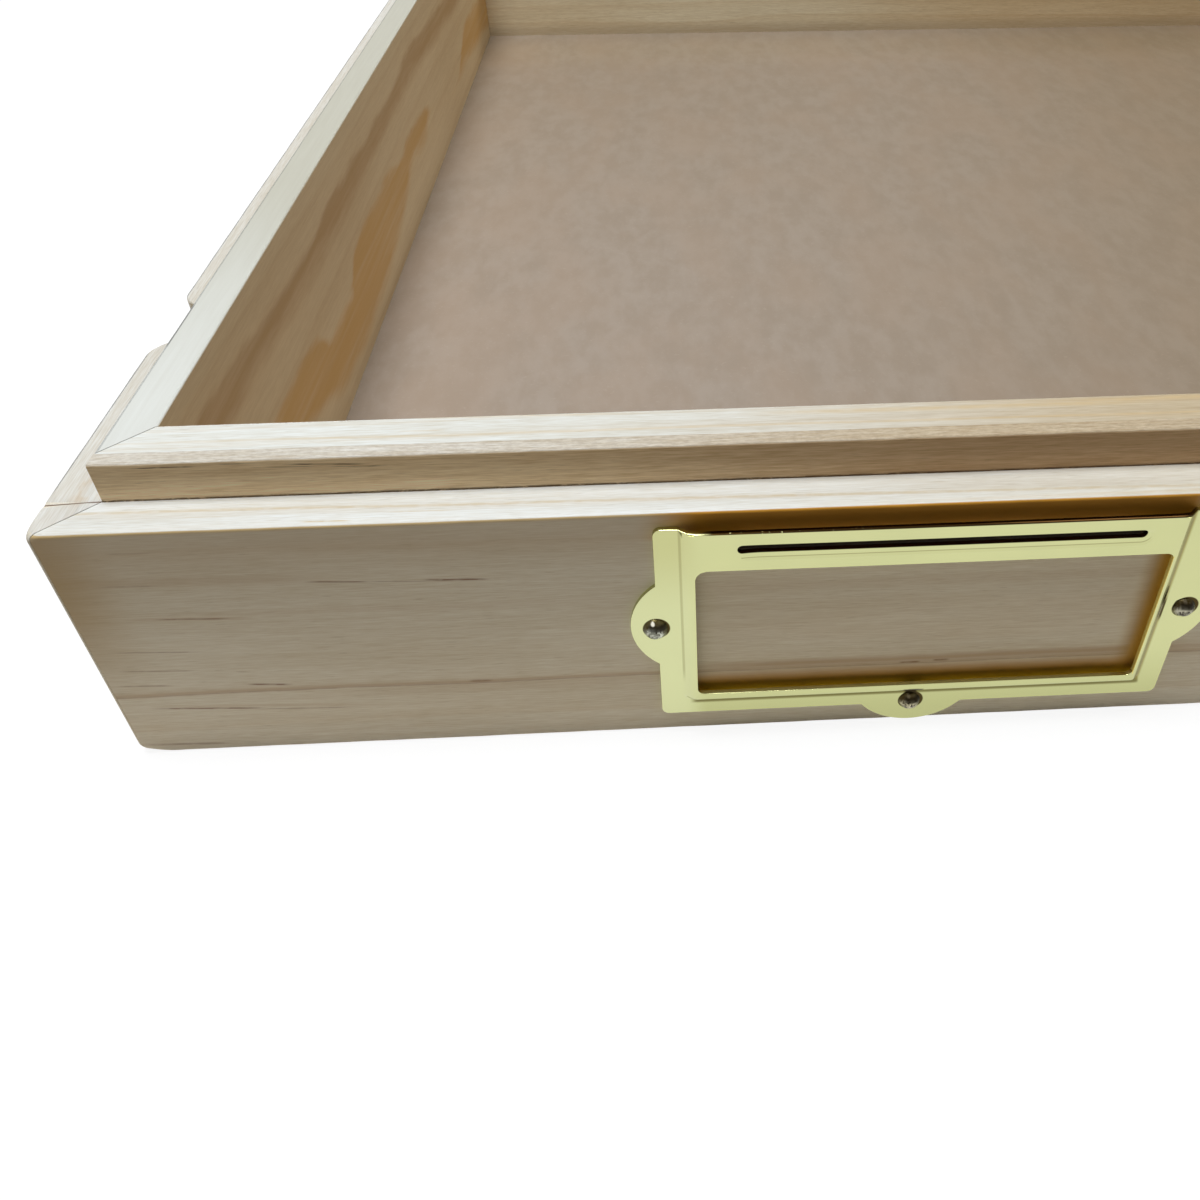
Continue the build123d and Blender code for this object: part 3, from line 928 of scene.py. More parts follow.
def left_liner_tint(space, color):
    """Two wandering bands of heartwood on the inner face, sharp above and soft below, a pale top, and
    painted shade on the outer edge, darkest where the finger notch bares it.
    """
    x, y, z = axes(space)
    along = minus(x, ROOM_FRONT)
    height = swayed(z, noise(space, (16.0, 3.0, 3.0), 3.0), 5.0)
    streaky = step(noise(space, (60.0, 2.2, 2.2), 3.0), 0.20, 0.60, 0.62, 1.0)
    for rows, tone, strength in ((UPPER_BAND, (0.45, 0.25, 0.08), 0.64),
                                 (LOWER_BAND, (0.64, 0.345, 0.055), 0.67)):
        top, bottom = level(along, rows, 1), level(along, rows, 2)
        upper = step(minus(top, height), -1.2, 1.6)
        lower = step(minus(height, bottom), -1.5, 4.0)
        color = paint(color, tone, upper, lower, streaky, strength)
    pale = mix(step(along, 0.0, 95.0), (0.685, 0.69, 0.64), (0.51, 0.495, 0.41))
    grain = mix(noise(space, (14.0, 0.7, 0.7), 3.0), (0.93, 0.92, 0.90), (1.06, 1.07, 1.08))
    color = paint(color, tinted(pale, grain), band(z, LIP - 0.2))
    # Painted shade: the outer edge dark, for the shaded outer face seen edge-on.
    edge_on_shade = calc("MULTIPLY_ADD", band(x, -161.0, -147.5, 1.0), 0.45, 0.4)
    return paint(color, (0.13, 0.13, 0.12), band(y, WALL_X - 0.45), edge_on_shade)


# %% Tints of the front and back liner boards
LIP_MARKS = [
    (-150.0, -188.3, 120.0, 0.5, -0.003, 0.35), (-120.0, -185.4, 36.0, 1.0, 0.0, 0.45),
    (-60.0, -184.6, 60.0, 0.9, 0.0, 0.5), (40.0, -186.5, 90.0, 0.9, 0.0, 0.4),
    (170.0, -185.5, 80.0, 1.0, 0.0, 0.4), (-198.0, -186.9, 4.0, 0.3, 0.0, 0.3),
    (-185.0, -183.9, 20.0, 0.4, -0.02, 0.3),
]


def front_liner_tint(space, color):
    """The lip's top turns from pale to tan along the board, partly its tone and partly painted sheen, with
    tan streaks.
    """
    x, _, z = axes(space)
    top = band(z, LIP - 0.2)
    # Pale and cool at the left, tan to the right: partly the wood's tone, partly painted sheen.
    tan = mix(step(x, -190.0, -80.0), (0.96, 1.02, 1.10), (0.63, 0.54, 0.405))
    color = tinted(color, tan, top)
    return paint(color, (0.60, 0.42, 0.18), top, streaks(space, LIP_MARKS, "Y", 0.5, 0.3))


def back_liner_tint(space, color):
    """The back board is browner towards the right, and painted shade darkens it where it meets the floor
    panel.
    """
    x, _, z = axes(space)
    color = tinted(color, mix(step(x, -120.0, 10.0), WHITE, (0.97, 0.87, 0.76)))
    # Painted shade: darker towards the foot, in the corner with the floor panel.
    return paint(color, (0.32, 0.22, 0.13), step(z, PANEL + 1.0, PANEL + 5.8, 0.42, 0.0))


# %% Make the liner boards
liner_pine = {
    "left": pine("left_liner_pine", "y", heart=(300.0, -30.0), gap=7.0, early=(0.80, 0.68, 0.465),
                 late=(0.66, 0.49, 0.28), rings=0.30, fibre=0.05, dashes=0.1, tint=left_liner_tint),
    "front": pine("front_liner_pine", "x", heart=(-150.0, 20.0), gap=3.4, early=(0.78, 0.76, 0.68),
                  late=(0.70, 0.58, 0.42), rings=0.30, tint=front_liner_tint),
    "back": pine("back_liner_pine", "x", heart=(230.0, -20.0), gap=4.0, early=(0.78, 0.70, 0.505),
                 late=(0.64, 0.50, 0.30), rings=0.4, tint=back_liner_tint),
    "right": pine("right_liner_pine", "y", heart=(-300.0, 0.0), gap=4.6, early=(0.72, 0.61, 0.43),
                  late=(0.58, 0.41, 0.22), rings=0.45),
}
for side in ("front", "back", "left", "right"):
    piece = board(f"{side}_liner_board", side, liner_profile(LINER_THICKNESS, side != "front"), LINER_FACES,
                  LINER_INNER, 0.0, liner_pine[side], seed=SIDES[side] + LINER_SEED, uneven=0.02)
    fit(piece, "case", "pine_liner", f"{side}_liner")

# %% Tint of the packing strip
STRIP_MARKS = [
    (-232.0, 51.4, 5.0, 0.16, -0.01, 0.9), (-222.0, 51.6, 3.0, 0.12, 0.0, 0.6),
    (-210.0, 51.1, 6.5, 0.18, -0.03, 0.9), (-206.0, 50.6, 4.5, 0.14, -0.02, 0.8),
    (-215.0, 50.8, 4.0, 0.1, 0.0, 0.5),
]


def sawn_tint(space, color):
    """A grey mottled top and a browner face, darker to the right partly by painted light falloff, fine cracks
    and a ragged foot of painted shade.
    """
    x, _, z = axes(space)
    chips = noise(space, (1.6, 0.45, 0.45), 3.0, 0.7)
    # Lighter at the left and darker to the right: partly the wood's tone, partly painted light falloff.
    right = step(x, -200.0, -110.0)
    face = mix(right, (1.46, 1.38, 1.28), (0.92, 0.74, 0.60))
    # Painted shade: the face darker towards the top, away from the light off the ledge.
    face = mix(step(z, LEDGE, LIP, 0.0, 0.35), face, (0.80, 0.68, 0.55))
    gray = mix(right, (0.88, 0.99, 1.24), (0.70, 0.68, 0.66))
    gray = tinted(gray, mix(step(chips, 0.3, 0.7), (0.84, 0.82, 0.80), (1.12, 1.14, 1.16)))
    color = tinted(color, mix(band(z, LIP - 0.12), face, gray))
    # Painted shade: a ragged dark line at the foot, in the shadow gap at the foot of the lip.
    seam = band(z, high=LEDGE + 0.2, soft=0.14)
    color = paint(color, (0.16, 0.09, 0.04), seam, step(chips, 0.34, 0.50), 0.7)
    return paint(color, (0.10, 0.05, 0.03), streaks(space, STRIP_MARKS, "Z", 0.3, 0.5))


# %% Make the packing strip
STRIP_STATIONS, STRIP_UNEVEN = 400, 0.04
sawn_pine = pine("sawn_pine", "x", heart=(-120.0, 60.0), gap=3.0, early=(0.74, 0.63, 0.45),
                 late=(0.62, 0.48, 0.30), rings=0.3, fibre=0.14, relief=0.8, rough=0.75, tint=sawn_tint)


def strip_board():
    """The strip has square ends: its rows run from one side board to the other."""
    thickness = LINER_FRONT - WALL_FRONT
    loop = [(0.0, PANEL), *quarter((LIP_ARRIS, LIP - LIP_ARRIS), LIP_ARRIS, 180), (thickness, LIP),
            (thickness, PANEL)]
    rows = with_support(loop)
    along, depth = np.meshgrid(np.linspace(-WALL_X, WALL_X, STRIP_STATIONS), rows[:, 0])
    height = np.repeat(rows[:, 1:], along.shape[1], axis=1)
    depth = depth + np.clip(1 - depth / WAVER_DEPTH, 0, 1) * waver(along, STRIP_SEED, STRIP_UNEVEN)
    return sweep("sawn_strip", np.stack([along, WALL_FRONT + depth, height], axis=-1), sawn_pine)


fit(strip_board(), "case", "pine_sawn", "packing_strip")

# %% [markdown]
# ## Floor panel and nails
#
# Hardboard is pressed wood fibre: pinkish tan, matt, softly mottled at the size of a fingertip and flecked at
# the size of a grain of rice. It is flat and square, so the construction solid stays and only gets a finish.

# %% Hardboard


def hardboard():
    """Matt fibreboard: two sizes of mottling, fine flecks, painted light falloff to the right and back left,
    and painted light at the back wall.
    """
    material, tree, shader = new_material("hardboard")
    space = grain_space(tree, "x")
    x, y, _ = axes(space)
    mottle = noise(space, (5.0, 10.5, 5.0), 3.0, 0.6)
    color = mix(step(mottle, 0.30, 0.70), (0.327, 0.266, 0.208), (0.363, 0.302, 0.245))
    cloud = noise(space, (22.0, 44.0, 26.0), 4.0)
    color = paint(color, (0.37, 0.285, 0.215), step(cloud, 0.4, 0.65), 0.40)
    fleck = noise(space, (0.9, 0.9, 0.9))
    color = paint(color, (0.43, 0.36, 0.29), step(fleck, 0.62, 0.75), 0.32)
    # Painted light falloff: darker and warmer to the right and at the back left.
    warm = mix(step(x, -190.0, 60.0), WHITE, (0.75, 0.69, 0.56))
    back_left_falloff = both(step(y, -120.0, 160.0), fade(x, -150.0, 20.0))
    warm = paint(warm, (0.88, 0.85, 0.78), back_left_falloff)
    # Painted light: lighter near the back wall, against the shade that the wall casts.
    far = both(step(y, 130.0, 165.0), fade(y, 164.0, 190.0))
    warm = tinted(warm, (1.18, 1.15, 1.08), far)
    give(shader, {"Base Color": tinted(color, warm), "Normal": bump(fleck, 0.15, 0.0001),
                        "Roughness": 0.7, "Specular IOR Level": 0.25})
    return material


# %% Steel, and dress the floor panel


def steel(name, color, rough):
    """Bare wire nail with a slightly uneven polish."""
    material, tree, shader = new_material(name)
    patch = noise(grain_space(tree, "x"), (0.8, 0.8, 0.8), 3.0)
    give(shader, {"Base Color": mix(patch, color, tuple(0.6 * c for c in color)), "Metallic": 1.0,
                        "Roughness": step(patch, 0.3, 0.7, rough - 0.08, rough + 0.12)})
    return material


def dress(node, material):
    """Give a construction node, which keeps its mesh, a finish of its own."""
    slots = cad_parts[node].data.materials
    slots.clear()
    slots.append(material)


dress("floor_panel", hardboard())
brad_steel = steel("brad_steel", (0.55, 0.55, 0.56), 0.3)
dress("floor_panel_brads", brad_steel)

# %% [markdown]
# ## Label holder
#
# The holder is one sheet of brass, blanked out and pressed. A flat drawing with holes is easiest to
# triangulate in the plane, so the outline, the window, the slot and a few guide lines along the bends go
# through a constrained Delaunay triangulation. Pressing is then one formula: the height of the sheet above
# the board as a function of place. The same triangles serve as front and back, and rows of quads round the
# sheared rims, because polished metal shows its edges as bright and dark lines.

# %% Sizes of the holder
HOLDER_WIDTH, HOLDER_HEIGHT, HOLDER_CORNER = 81.2, 38.7, 1.2
HOLDER_MIDDLE = (low("label_holder")[0] + high("label_holder")[0]) / 2
HOLDER_FOOT = high("label_holder")[2] - HOLDER_HEIGHT
SHEET = 0.8
CARD_GAP = 1.3
CREASE_X = HOLDER_WIDTH / 2 - 3.55
CREASE_UP = 3.0
BEND_RUN = 1.75
BEND_CORNER = 1.8
TAB_RADIUS = 10.3
TAB_REACH = 4.0
SIDE_TAB_UP = 19.9
LEFT_EARLY, LEFT_RUN = 0.4, 2.5
WINDOW = {"shift": 0.15, "half": CREASE_X - BEND_RUN - 0.40, "low": 5.75, "high": HOLDER_HEIGHT - 6.95,
          "corner": 1.1, "worn_corner": 1.8}
SLOT = {"left": 11.9 - HOLDER_WIDTH / 2, "right": HOLDER_WIDTH / 2 - 10.6, "up": HOLDER_HEIGHT - 3.0,
        "radius": 0.70}
SLOT_MIDDLE = (SLOT["left"] + SLOT["right"]) / 2
SLOT_STRAIGHT = (SLOT["right"] - SLOT["left"]) / 2 - SLOT["radius"]
PIN_SHIFT, PIN_DROP = -0.3, 0.5
PINS = {"left": (PIN_SHIFT - HOLDER_WIDTH / 2, SIDE_TAB_UP - PIN_DROP),
        "right": (PIN_SHIFT + HOLDER_WIDTH / 2, SIDE_TAB_UP - PIN_DROP), "bottom": (PIN_SHIFT, 0.6)}
RIM = 0.13
print("holder middle", HOLDER_MIDDLE, "foot", HOLDER_FOOT)

# %% Flat outlines of the holder
ARC_SPACING, LONGEST_EDGE = 0.25, 1.2


def arc(center, radius, start, end, spacing=ARC_SPACING):
    """Points on a circle from start to end, in degrees."""
    count = max(3, int(abs(math.radians(end - start)) * radius / spacing) + 1)
    angles = np.radians(np.linspace(start, end, count))
    return np.stack([center[0] + radius * np.cos(angles), center[1] + radius * np.sin(angles)], axis=1)


def closed(*runs):
    """Join runs of points into one loop and fill long straight gaps with points."""
    corners = np.concatenate(runs)
    filled = []
    for here, there in zip(corners, np.roll(corners, -1, axis=0)):
        pieces = max(1, int(np.linalg.norm(there - here) / LONGEST_EDGE))
        filled.append(here + (there - here) * np.arange(pieces)[:, None] / pieces)
    return np.concatenate(filled)


def rounded(half, bottom, top, corner, upper_left):
    """Rounded rectangle, counterclockwise from its lower right corner, with its own upper left corner."""
    return closed(arc((half - corner, bottom + corner), corner, -90, 0),
                  arc((half - corner, top - corner), corner, 0, 90),
                  arc((-half + upper_left, top - upper_left), upper_left, 90, 180),
                  arc((-half + corner, bottom + corner), corner, 180, 270))


def plate_outline():
    """The blank: a rounded rectangle with a round tab on its left, right and lower edge."""
    half, top, corner = HOLDER_WIDTH / 2, HOLDER_HEIGHT, HOLDER_CORNER
    inward = TAB_RADIUS - TAB_REACH
    open_angle = math.degrees(math.acos(inward / TAB_RADIUS))
    return closed(arc((0, inward), TAB_RADIUS, -90, -90 + open_angle),
                  arc((half - corner, corner), corner, -90, 0),
                  arc((half - inward, SIDE_TAB_UP), TAB_RADIUS, -open_angle, open_angle),
                  arc((half - corner, top - corner), corner, 0, 90),
                  arc((-half + corner, top - corner), corner, 90, 180),
                  arc((-half + inward, SIDE_TAB_UP), TAB_RADIUS, 180 - open_angle, 180 + open_angle),
                  arc((-half + corner, corner), corner, 180, 270),
                  arc((0, inward), TAB_RADIUS, -90 - open_angle, -90.5))


# %% The slot, and loops moved inwards


def slot_outline(grow=0.0):
    """The slot, or a loop that runs round it at a distance."""
    radius = SLOT["radius"] + grow
    return closed(arc((SLOT["right"] - SLOT["radius"], SLOT["up"]), radius, -90, 90),
                  arc((SLOT["left"] + SLOT["radius"], SLOT["up"]), radius, 90, 270))


def slot_distance(u, v):
    """Distance outside the slot's edge."""
    beyond = np.maximum(np.abs(u - SLOT_MIDDLE) - SLOT_STRAIGHT, 0)
    return np.hypot(beyond, v - SLOT["up"]) - SLOT["radius"]


def inset(loop, distance):
    """Move a counterclockwise loop inwards: each point along the mean normal of its two edges."""
    before = loop - np.roll(loop, 1, axis=0)
    after = np.roll(loop, -1, axis=0) - loop
    first, second = (np.stack([-edge[:, 1], edge[:, 0]], axis=1) / np.linalg.norm(edge, axis=1)[:, None]
                     for edge in (before, after))
    middle = first + second
    middle /= np.linalg.norm(middle, axis=1)[:, None]
    stretch = 1 / np.maximum((middle * first).sum(axis=1), 0.5)
    return loop + middle * (stretch * distance)[:, None]


# %% [markdown]
# The height formula. Inside the crease the sheet rises to the raised panel: a straight slope with both ends
# rounded. The crease is a rectangle with round lower corners that stays open at the top. Three small extras
# make it a pressed part: the strip under the slot is pushed back a little, the bend is knocked flat beside
# the lower pin, and the whole panel is bowed by a tenth of a millimetre. The die was worn on the left: the
# bend starts sooner there and runs out more gently, which `even_out` allows for.

# %% Height of the pressed sheet
WORN = [-60.0, -CREASE_X - LEFT_EARLY, -CREASE_X - LEFT_EARLY + LEFT_RUN, -20.0, 60.0]
EVEN = [-60.0, -CREASE_X, -CREASE_X + BEND_RUN, -20.0, 60.0]
PUSHED_BACK, BOW = 0.25, 0.10
NEAR_SLOT, NEAR_PIN = (0.95, 1.35), (2.15, 2.75)


def even_out(u):
    """Where u would lie if the left bend were as steep as the right one."""
    return np.interp(u, WORN, EVEN)


def crease_depth(u, v):
    """Distance inside the crease line, negative on the flange."""
    right = CREASE_X - np.abs(even_out(u))
    up = v - CREASE_UP
    corner = np.hypot(np.maximum(BEND_CORNER - right, 0), np.maximum(BEND_CORNER - up, 0))
    in_corner = (right < BEND_CORNER) & (up < BEND_CORNER)
    return np.where(in_corner, BEND_CORNER - corner, np.minimum(right, up))


def ramp_up(t, ease=0.36):
    """0 to 1 with a straight middle and parabolas over the share `ease` at both ends."""
    t = np.clip(t, 0, 1)
    slope = 1 / (1 - ease)
    start = slope * t**2 / (2 * ease)
    end = 1 - slope * (1 - t) ** 2 / (2 * ease)
    return np.where(t < ease, start, np.where(t > 1 - ease, end, slope * (t - ease / 2)))


def soft_step(value, start, end):
    """Smooth step for arrays."""
    t = np.clip((value - start) / (end - start), 0, 1)
    return t * t * (3 - 2 * t)


def sheet_height(u, v):
    """Height of the sheet's back above the board."""
    height = CARD_GAP * ramp_up(crease_depth(u, v) / BEND_RUN)
    near_slot = 1 - soft_step(slot_distance(u, v), *NEAR_SLOT)
    below_slot = 1 - soft_step(v, SLOT["up"] - 0.2, SLOT["up"] + 1.2)
    right_of_start = soft_step(u, SLOT["left"] - 1.0, SLOT["left"] + 3.0)
    height = height - PUSHED_BACK * near_slot * below_slot * right_of_start
    pin_u, pin_v = PINS["bottom"]
    height = height * soft_step(np.hypot(u - pin_u, v - pin_v), *NEAR_PIN)
    bow = np.cos(np.clip(u / CREASE_X, -1, 1) * math.pi / 2) * soft_step(v, CREASE_UP, HOLDER_HEIGHT)
    return height + BOW * bow


# %% Guide lines and the metal's area
UPRIGHT_POINTS, FOOT_POINTS = 30, 120


def guide_lines():
    """Open lines along the bend and loops round the slot and the lower pin, where the height changes."""
    lines = []
    top = HOLDER_HEIGHT - RIM - 0.06
    for depth in (-0.04, *np.linspace(0, BEND_RUN, 10), BEND_RUN + 0.04):
        radius = max(BEND_CORNER - depth, 0.02)
        x, y = CREASE_X - depth, CREASE_UP + depth
        upright = np.linspace(top, y + radius, UPRIGHT_POINTS)
        left = np.stack([np.full(UPRIGHT_POINTS, -x), upright], axis=1)
        across = np.linspace(-x + radius, x - radius, FOOT_POINTS)
        foot = np.stack([across, np.full(FOOT_POINTS, y)], axis=1)
        right = np.stack([np.full(UPRIGHT_POINTS, x), upright[::-1]], axis=1)
        line = np.concatenate([left, arc((-x + radius, y + radius), radius, 180, 270)[1:-1], foot,
                               arc((x - radius, y + radius), radius, -90, 0)[1:-1], right])
        line[:, 0] = np.interp(line[:, 0], EVEN, WORN)
        lines.append(line)
    return lines


def box_distance(u, v, half, tall, corner):
    """Distance outside a rounded rectangle about the origin, negative inside it."""
    aside, above = np.abs(u) - (half - corner), np.abs(v) - (tall - corner)
    outside = np.hypot(np.maximum(aside, 0), np.maximum(above, 0))
    return outside + np.minimum(np.maximum(aside, above), 0) - corner


def inside_blank(points):
    """True in the metal, away from the window and the slot; the rims count as outside."""
    u, v = points.T
    margin = RIM * 0.5
    half, tall = HOLDER_WIDTH / 2, HOLDER_HEIGHT / 2
    plate = box_distance(u, v - tall, half, tall, HOLDER_CORNER)
    inward = TAB_RADIUS - TAB_REACH
    for center in ((half - inward, SIDE_TAB_UP), (-half + inward, SIDE_TAB_UP), (0, inward)):
        plate = np.minimum(plate, np.hypot(u - center[0], v - center[1]) - TAB_RADIUS)
    middle = (WINDOW["low"] + WINDOW["high"]) / 2
    tall = (WINDOW["high"] - WINDOW["low"]) / 2
    corner = np.where((u < 0) & (v > middle), WINDOW["worn_corner"], WINDOW["corner"])
    window = box_distance(u - WINDOW["shift"], v - middle, WINDOW["half"], tall, corner)
    return (plate < -margin) & (window > margin) & (slot_distance(u, v) > margin)


# %% Triangulate the sheet
SLOT_LOOPS, PIN_LOOPS = (0.5, 0.9, 1.0, 1.1, 1.2, 1.3, 1.4), (2.1, 2.3, 2.5, 2.7, 2.9)


def holder_mesh_parts():
    """Rim loops (outline, inset) and the triangulated sheet between them: points, triangles."""
    window = rounded(*(WINDOW[key] for key in ("half", "low", "high", "corner", "worn_corner")))[::-1]
    window = window + np.array([WINDOW["shift"], 0.0])
    loops = [plate_outline(), window, slot_outline()[::-1]]
    inner = [inset(loop, RIM) for loop in loops]
    chains = [(loop, True) for loop in inner] + [(inset(loop, RIM + 0.05), True) for loop in loops]
    chains += [(slot_outline(grow), True) for grow in SLOT_LOOPS]
    chains += [(arc(PINS["bottom"], r, 0, 350, 0.4), True) for r in PIN_LOOPS]
    chains += [(line, False) for line in guide_lines()]
    points, edges = [], []
    for chain, is_closed in chains:
        start = len(points)
        points.extend(Vector(p) for p in chain.tolist())
        count = len(chain)
        edges.extend((start + i, start + (i + 1) % count) for i in range(count if is_closed else count - 1))
    found = geometry.delaunay_2d_cdt(points, edges, [], 0, 1e-4)
    flat, triangles = (np.array([tuple(row) for row in found[i]]) for i in (0, 2))
    triangles = triangles[inside_blank(flat[triangles].mean(axis=1))]
    return loops, inner, flat, triangles


def rim_rows(loop, inner):
    """Rows from the front round the sheared rim to the back: pairs of plan points and heights."""
    rows = []
    for angle in np.radians(np.linspace(0, 90, 5)):
        plan = inner + (loop - inner) * np.sin(angle)
        rows.append((plan, sheet_height(*plan.T) + SHEET - RIM + RIM * np.cos(angle)))
    return rows + [(plan, sheet_height(*plan.T)) for plan in (loop, inner)]


# %% Lift the sheet


def ring_faces(rings, size, start=0):
    """Numbers of the points on closed rings, a row for each ring, and the quads between the rings."""
    index = start + np.arange(rings * size).reshape(rings, size)
    ahead = np.roll(index, -1, axis=1)
    return index, np.stack([index[:-1], ahead[:-1], ahead[1:], index[1:]], axis=-1).reshape(-1, 4)


def place_on_front(u, v, height):
    """From the holder's own plane to the case: u right, v up, height out of the board."""
    return np.stack([HOLDER_MIDDLE + u, FRONT - height, HOLDER_FOOT + v], axis=-1)


def label_holder(material):
    """Front, back and rims of the pressed sheet as one closed mesh."""
    loops, inner, flat, triangles = holder_mesh_parts()
    back = sheet_height(*flat.T)
    points = [place_on_front(*flat.T, back + SHEET), place_on_front(*flat.T, back)]
    faces = triangles.tolist() + (triangles[:, ::-1] + len(flat)).tolist()
    start = 2 * len(flat)
    for loop, inner_loop in zip(loops, inner):
        rows = rim_rows(loop, inner_loop)
        points.extend(place_on_front(*plan.T, height) for plan, height in rows)
        index, quads = ring_faces(len(rows), len(loop), start)
        faces.extend(quads.tolist())
        start += index.size
    return make_mesh("pressed_label_holder", np.concatenate(points), faces, material, smooth_angle=50.0)


# %% [markdown]
# Lacquered brass in a white room shows white where it faces the room, and the wood where it faces the board.
# So its colour is the tint that it gives to white. A faint unevenness in polish and a trace of rolling waves
# keep the reflections from looking like plastic.

# %% Places on the holder


def on_holder(tree):
    """The holder's own plane as sockets: u right of its middle and v above its foot."""
    space = grain_space(tree, "x")
    x, _, z = axes(space)
    return space, minus(x, HOLDER_MIDDLE), minus(z, HOLDER_FOOT)


def apart(u, v, place):
    """Distance of (u, v) from a place."""
    aside, up = (minus(value, at) for value, at in zip((u, v), place))
    return calc("SQRT", calc("MULTIPLY_ADD", aside, aside, calc("MULTIPLY", up, up)))


def line_at(value, middle, half_width):
    """1 on the line where value equals middle, 0 beyond half_width."""
    return fade(away(value, middle), half_width * 0.4, half_width)


# %% Dark lines of the brass


def bend_color(color, u, v):
    """Brown lines where the bend mirrors its own hollow, faint on the left, a dash on the right."""
    right, up = minus(CREASE_X, u), minus(v, CREASE_UP)
    at_right = step(minus(up, right), -0.5, 1.0)
    depth = minus(calc("SMOOTH_MIN", right, up, 1.6), calc("MULTIPLY", at_right, 0.6))
    tone = mix(at_right, (0.16, 0.14, 0.04), (0.26, 0.21, 0.04))
    color = paint(color, tone, line_at(depth, 0.10, 0.95), step(u, -36.2, -34.8), 0.9)
    faint = both(line_at(u, -36.85, 0.28), step(v, 7.0, 11.0), 0.35)
    color = paint(color, (0.19, 0.165, 0.05), faint)
    dash = both(line_at(right, 0.1, 0.30), line_at(v, 19.3, 3.0))
    return paint(color, (0.07, 0.05, 0.01), dash)


def slot_color(color, u, v):
    """Painted shade: a dark edge round the slot and a fainter line along the ridge below it."""
    beyond = calc("MAXIMUM", minus(away(u, SLOT_MIDDLE), SLOT_STRAIGHT), 0.0)
    distance = apart(beyond, v, (0.0, SLOT["up"]))
    edge = band(distance, high=SLOT["radius"] + 0.07, soft=0.05)
    color = paint(color, (0.03, 0.015, 0.004), edge)
    below = band(v, high=SLOT["up"] - 0.9, soft=0.5)
    ridge = line_at(distance, SLOT["radius"] + 0.9, 0.13)
    return paint(color, (0.20, 0.17, 0.06), ridge, below, band(u, SLOT["left"] + 0.5), 0.5)


def pin_color(color, u, v):
    """Painted shade round the pins, and in the dent between the lower pin and the panel."""
    for pin_u, pin_v in PINS.values():
        shade = band(apart(u, v, (pin_u + 0.16, pin_v + 0.14)), high=2.05, soft=0.10)
        color = paint(color, (0.06, 0.04, 0.01), shade)
    aside = away(u, PINS["bottom"][0])
    dent = both(band(aside, high=0.95, soft=0.25), band(v, 1.0, CREASE_UP + BEND_RUN, 0.15))
    bar = both(band(aside, high=1.6, soft=0.2), band(v, CREASE_UP, CREASE_UP + 1.7, 0.15))
    return paint(color, (0.03, 0.02, 0.005), calc("MAXIMUM", dent, bar))


# %% Make the holder


def brass():
    """Pale polished brass with slow waves; painted reflections and shade darken it low down, in the bends and
    on the rims.
    """
    material, tree, shader = new_material("brass")
    space, u, v = on_holder(tree)
    patch = noise(space, (14.0, 14.0, 14.0))
    left = fade(u, -37.0, -33.0)
    color = mix(step(patch, 0.3, 0.7), (0.61, 0.62, 0.31), (0.585, 0.60, 0.30))
    # Painted reflection: darker low down, where the sheet mirrors the shaded floor next to the case.
    color = paint(color, (0.50, 0.51, 0.235), fade(v, -2.0, 12.0))
    color = paint(color, (0.635, 0.655, 0.355), left, 0.9)
    color = paint(color, (0.55, 0.55, 0.26), left, step(v, 22.0, 37.0))
    color = bend_color(color, u, v)
    # Painted reflection: the top rim dark, except for bright specks towards its left end.
    speck = noise(space, (0.5, 0.5, 0.5))
    rim_shade = calc("MAXIMUM", fade(speck, 0.66, 0.72), step(u, -22.0, -8.0))
    color = paint(color, (0.035, 0.018, 0.004), band(v, HOLDER_HEIGHT - 0.14, soft=0.05),
                  band(u, -CREASE_X + 3.5, CREASE_X - 0.3, 1.5), rim_shade)
    color = pin_color(slot_color(color, u, v), u, v)
    # Painted highlight: the window's right rim bright gold, under a rougher polish.
    sheared = both(line_at(u, WINDOW["half"] + WINDOW["shift"], 0.09),
                   band(v, WINDOW["low"] + 0.3, WINDOW["high"] - 0.5, 0.2))
    polish = calc("MULTIPLY_ADD", sheared, 0.45, step(patch, 0.3, 0.7, 0.07, 0.13))
    waves = noise(space, (6.0, 6.0, 3.0), 1.0)
    give(shader, {"Base Color": paint(color, (0.80, 0.66, 0.20), sheared), "Metallic": 1.0,
                        "Roughness": polish, "Normal": bump(waves, 0.12, 0.0002)})
    return material


fit(label_holder(brass()), "case", "brass", "label_holder")

# %% [markdown]
# ## Pins
#
# The pins are cheap round heads, knocked in with a hammer: domes with a few flats. A flat is what is left
# when a dome is cut by a plane, so the height is the lower of the dome and a handful of tilted planes.

# %% Shape of a pin
HEAD_RADIUS, HEAD_HEIGHT = 1.95, 1.25
SHANK_RADIUS, SHANK_LENGTH, SHANK_POINT = 0.65, 7.4, 1.2
SHARP, UNDERSIDE = 0.02, -0.02
AROUND, FLATS = 48, 7


